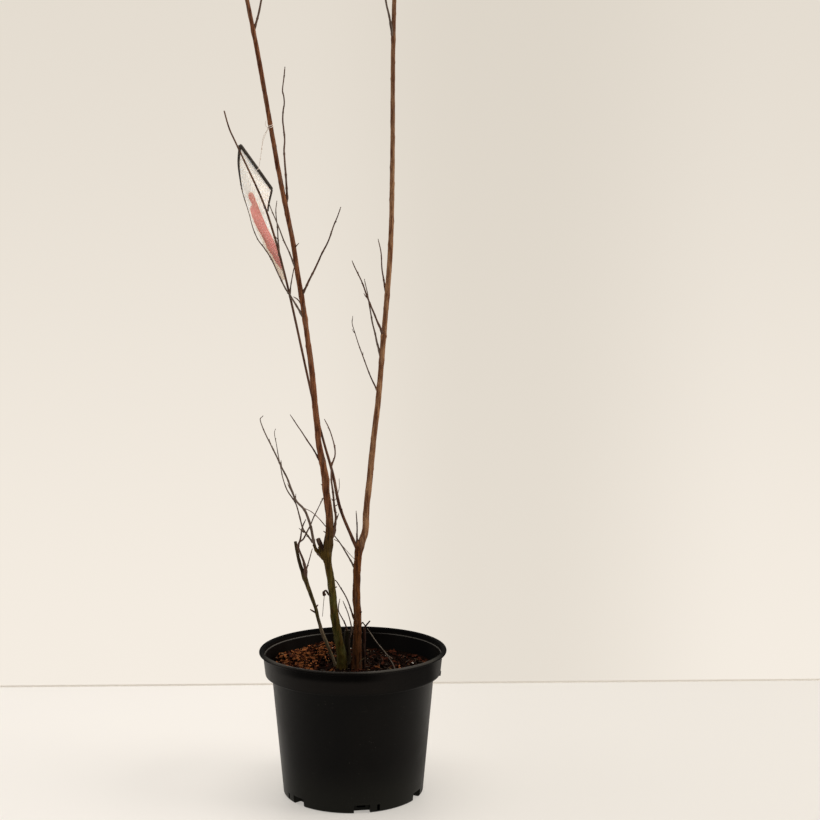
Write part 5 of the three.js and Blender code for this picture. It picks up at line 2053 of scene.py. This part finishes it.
@dataclass
class Studio:
    """Pale table, pale wall behind it, soft lights and the camera."""

    table_back: float = 0.4497
    table_reach: float = 5.0
    back_turn: float = math.radians(1.75)
    wall_away: float = 3.6
    lens: float = 61.46
    camera_place: Place = (0.067, -1.62, 0.58)
    camera_tilt: float = math.radians(4.57)

    def _sheet(self, name: str, corners: Sequence[Place], finish: Material) -> None:
        """Makes one flat stage surface.

        Args:
            name: Its name.
            corners: Its corners in metres.
            finish: Its finish.
        """
        mesh = bpy.data.meshes.new(name)
        mesh.from_pydata([tuple(c) for c in corners], [], [(0, 1, 2, 3)])
        sheet = bpy.data.objects.new(name, mesh)
        bpy.context.scene.collection.objects.link(sheet)
        mesh.materials.append(finish)

    def _surfaces(self) -> None:
        """Makes the table and the wall."""
        table = Graph("table_top")
        haze = table.noise((3, 3, 3), 2)
        tone = table.blend(haze, "b3b0ae", "b7b4b1")
        # Painted shadow: the table top darkens towards the right.
        aside = table.fade(table.axis("X"), -0.2, 0.25, 0, 1)
        tone = table.blend(aside, tone, "a29f9b")
        # The table top glows a little: painted light that lightens the shadows round the pot.
        top = table.finish(Base_Color=tone, Roughness=0.5, Specular_IOR_Level=0.3,
                           Emission_Color="f7f2ea", Emission_Strength=0.42)
        far = self.table_reach
        slope = math.tan(self.back_turn) * far
        left, right = (-far, self.table_back - slope), (far, self.table_back + slope)
        self._sheet("table", ((-far, -far, 0), (far, -far, 0), (*right, 0), (*left, 0)), top)
        # A thin upright strip along the table's back edge stands in for the line of shade where the
        # table meets the wall.
        edge = Plain("shade_line_strip", "f2ece2", "f4eee5", 40).make()
        self._sheet("shade_line_strip", ((*left, -0.002), (*right, -0.002), (*right, 0.0028),
                                   (*left, 0.0028)), edge)
        wall = Graph("wall")
        # Painted shade: the glowing wall is darker towards the top.
        climb = wall.fade(wall.axis(), -1.1, 2)
        tone = wall.blend(climb, "f5ede2", "e4dcd0")
        # Painted shadow: a soft darker band across the wall to the right of the plant.
        aside = wall.ridge(wall.axis("X"), (-0.4, 0.3), (0.5, 1.4), 0.5)
        tone = wall.blend(aside, tone, "d6cec1")
        paint = wall.finish(Base_Color="000000", Roughness=1.0, Specular_IOR_Level=0.0,
                            Emission_Color=tone, Emission_Strength=1.0)
        y = self.wall_away
        self._sheet("wall", ((-9, y, -3), (9, y, -3), (9, y, 6), (-9, y, 6)), paint)

    def _light(self, name: str, place: Place, size: Pair, power: float,
               colour: Colour, target: Place = (0, 0, 0.5)) -> None:
        """Adds one soft light.

        Args:
            name: Its name.
            place: Its place in metres.
            size: Its width and height.
            power: Its power in watts.
            colour: Its colour.
            target: Where it points.
        """
        data = bpy.data.lights.new(name, "AREA")
        data.shape = "RECTANGLE"
        data.size, data.size_y = size
        data.energy = power
        data.color = shade(colour)[:3]
        light = bpy.data.objects.new(name, data)
        light.location = place
        way = Vector(target) - Vector(place)
        light.rotation_euler = way.to_track_quat("-Z", "Y").to_euler()
        bpy.context.scene.collection.objects.link(light)

    def _lights(self) -> None:
        """Sets the soft studio light."""
        world = bpy.data.worlds.new("studio")
        world.use_nodes = True
        background = world.node_tree.nodes["Background"]
        background.inputs["Color"].default_value = shade("f3efe8")
        background.inputs["Strength"].default_value = 0.25
        bpy.context.scene.world = world
        warm, cool = "fffaf3", "fafbff"
        self._light("key", (2.1, -0.35, 1.7), (1.3, 1.3), 33, warm)
        self._light("top", (-0.1, 0.1, 2.6), (2.4, 2), 45, warm, (0, 0, 0))
        self._light("left_fill", (-2.2, -0.2, 1.2), (1.2, 1.6), 7, cool)

    def _camera(self) -> None:
        """Sets the camera at the photograph's height and tilt."""
        data = bpy.data.cameras.new("camera")
        data.lens = self.lens
        data.sensor_width = 36.0
        data.clip_start, data.clip_end = 0.05, 50.0
        camera = bpy.data.objects.new("camera", data)
        camera.location = self.camera_place
        camera.rotation_euler = (math.pi / 2 - self.camera_tilt, 0, 0)
        bpy.context.scene.collection.objects.link(camera)
        bpy.context.scene.camera = camera

    def build(self) -> None:
        """Makes the whole studio."""
        self._surfaces()
        self._lights()
        self._camera()
        bpy.context.scene.view_settings.view_transform = "Standard"


BARKS = {
    "mossy": Bark("mossy_bark", "mossy_bark", "2c2007", "604919", "472313", "8c5a3b",
                  (0.282, 0.345), moss="4f5420", moss_share=0.5, moss_top=0.286,
                  foot_shade_share=0.2, fork_share=0.42),
    "red_brown": Bark("red_brown_bark", "red_brown_bark", "371707", "73441e", "5f3823",
                      "9f7756", (0.285, 0.31), foot_shade_share=0.5, high_share=0.35),
    "shoot": Bark("shoot_bark", "red_brown_bark", "3b2218", "6e4a36", "452e25", "775845",
                  (0.4, 0.6), foot_shade_share=0.0, scale=0.5),
    "stub": Bark("stub_bark", "mossy_bark", "594a39", "84735e", "2e2412", "6c5b36",
                 (0.185, 0.215), moss_share=0.2, moss_top=0.25, foot_shade_share=0.0,
                 high="24140b", high_share=0.6, high_span=(0.236, 0.262)),
    "stump": Bark("stump_bark", "mossy_bark", "140c06", "2e1d10", "140c06", "2e1d10",
                  moss_share=0.15, pale_share=0.05),
    "dead": Bark("dead_bark", "dead_wood", "1a0c08", "3b231a", "1c0f0a", "442b1f",
                 (0.18, 0.2), foot_shade_share=0.2),
    "dry": Bark("dry_bark", "dead_wood", "463d34", "71675c", "463d34", "71675c",
                pale_share=0.1, foot_shade_share=0.0),
}
TWIG_BARKS = tuple(
    Bark(f"twig_{name}", "twigs", *tones, (0.5, 0.9), pale_share=0.0, foot_shade_share=0.3, scale=0.3)
    for name, *tones in (
        ("grey_brown", "54463b", "716157", "56483e", "74645a"),
        ("red_brown", "4b352a", "6a5145", "4d3a30", "6c564a"),
        ("dark_brown", "443026", "63493c", "48352b", "685143"),
    )
)


def main() -> None:
    """Builds every sub-assembly in order."""
    logging.basicConfig(level=logging.INFO, format="%(message)s")
    pot = Pot()
    pot.build(PotPlastic().make())
    mix = Crumbs("damp_mix", "060302", "180b05", 420)
    fibre = Plain("mix_fibre", "33241a", "5c4836")
    PottingMix(pot, mix.make(), fibre.make()).build()
    growth = Growth()
    barks = {kind: bark.make() for kind, bark in BARKS.items()}
    Stems(growth, barks).build()
    bud = Plain("bud_scales", "37211a", "54352a", 900)
    TwigMasses(growth, [bark.make() for bark in TWIG_BARKS], bud.make()).build()
    SmallGrowth(barks).build()
    dark = Plain("dark_plastic", "38322d", "504a43", 400, 0.5, 0.12)
    thread = Plain("tag_thread", "dccabd", "efe2d6", 900, 0.85)
    HangTag(growth, TagCard().make(), dark.make(), thread.make()).build()
    Studio().build()
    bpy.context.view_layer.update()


if __name__ == "__main__":
    main()
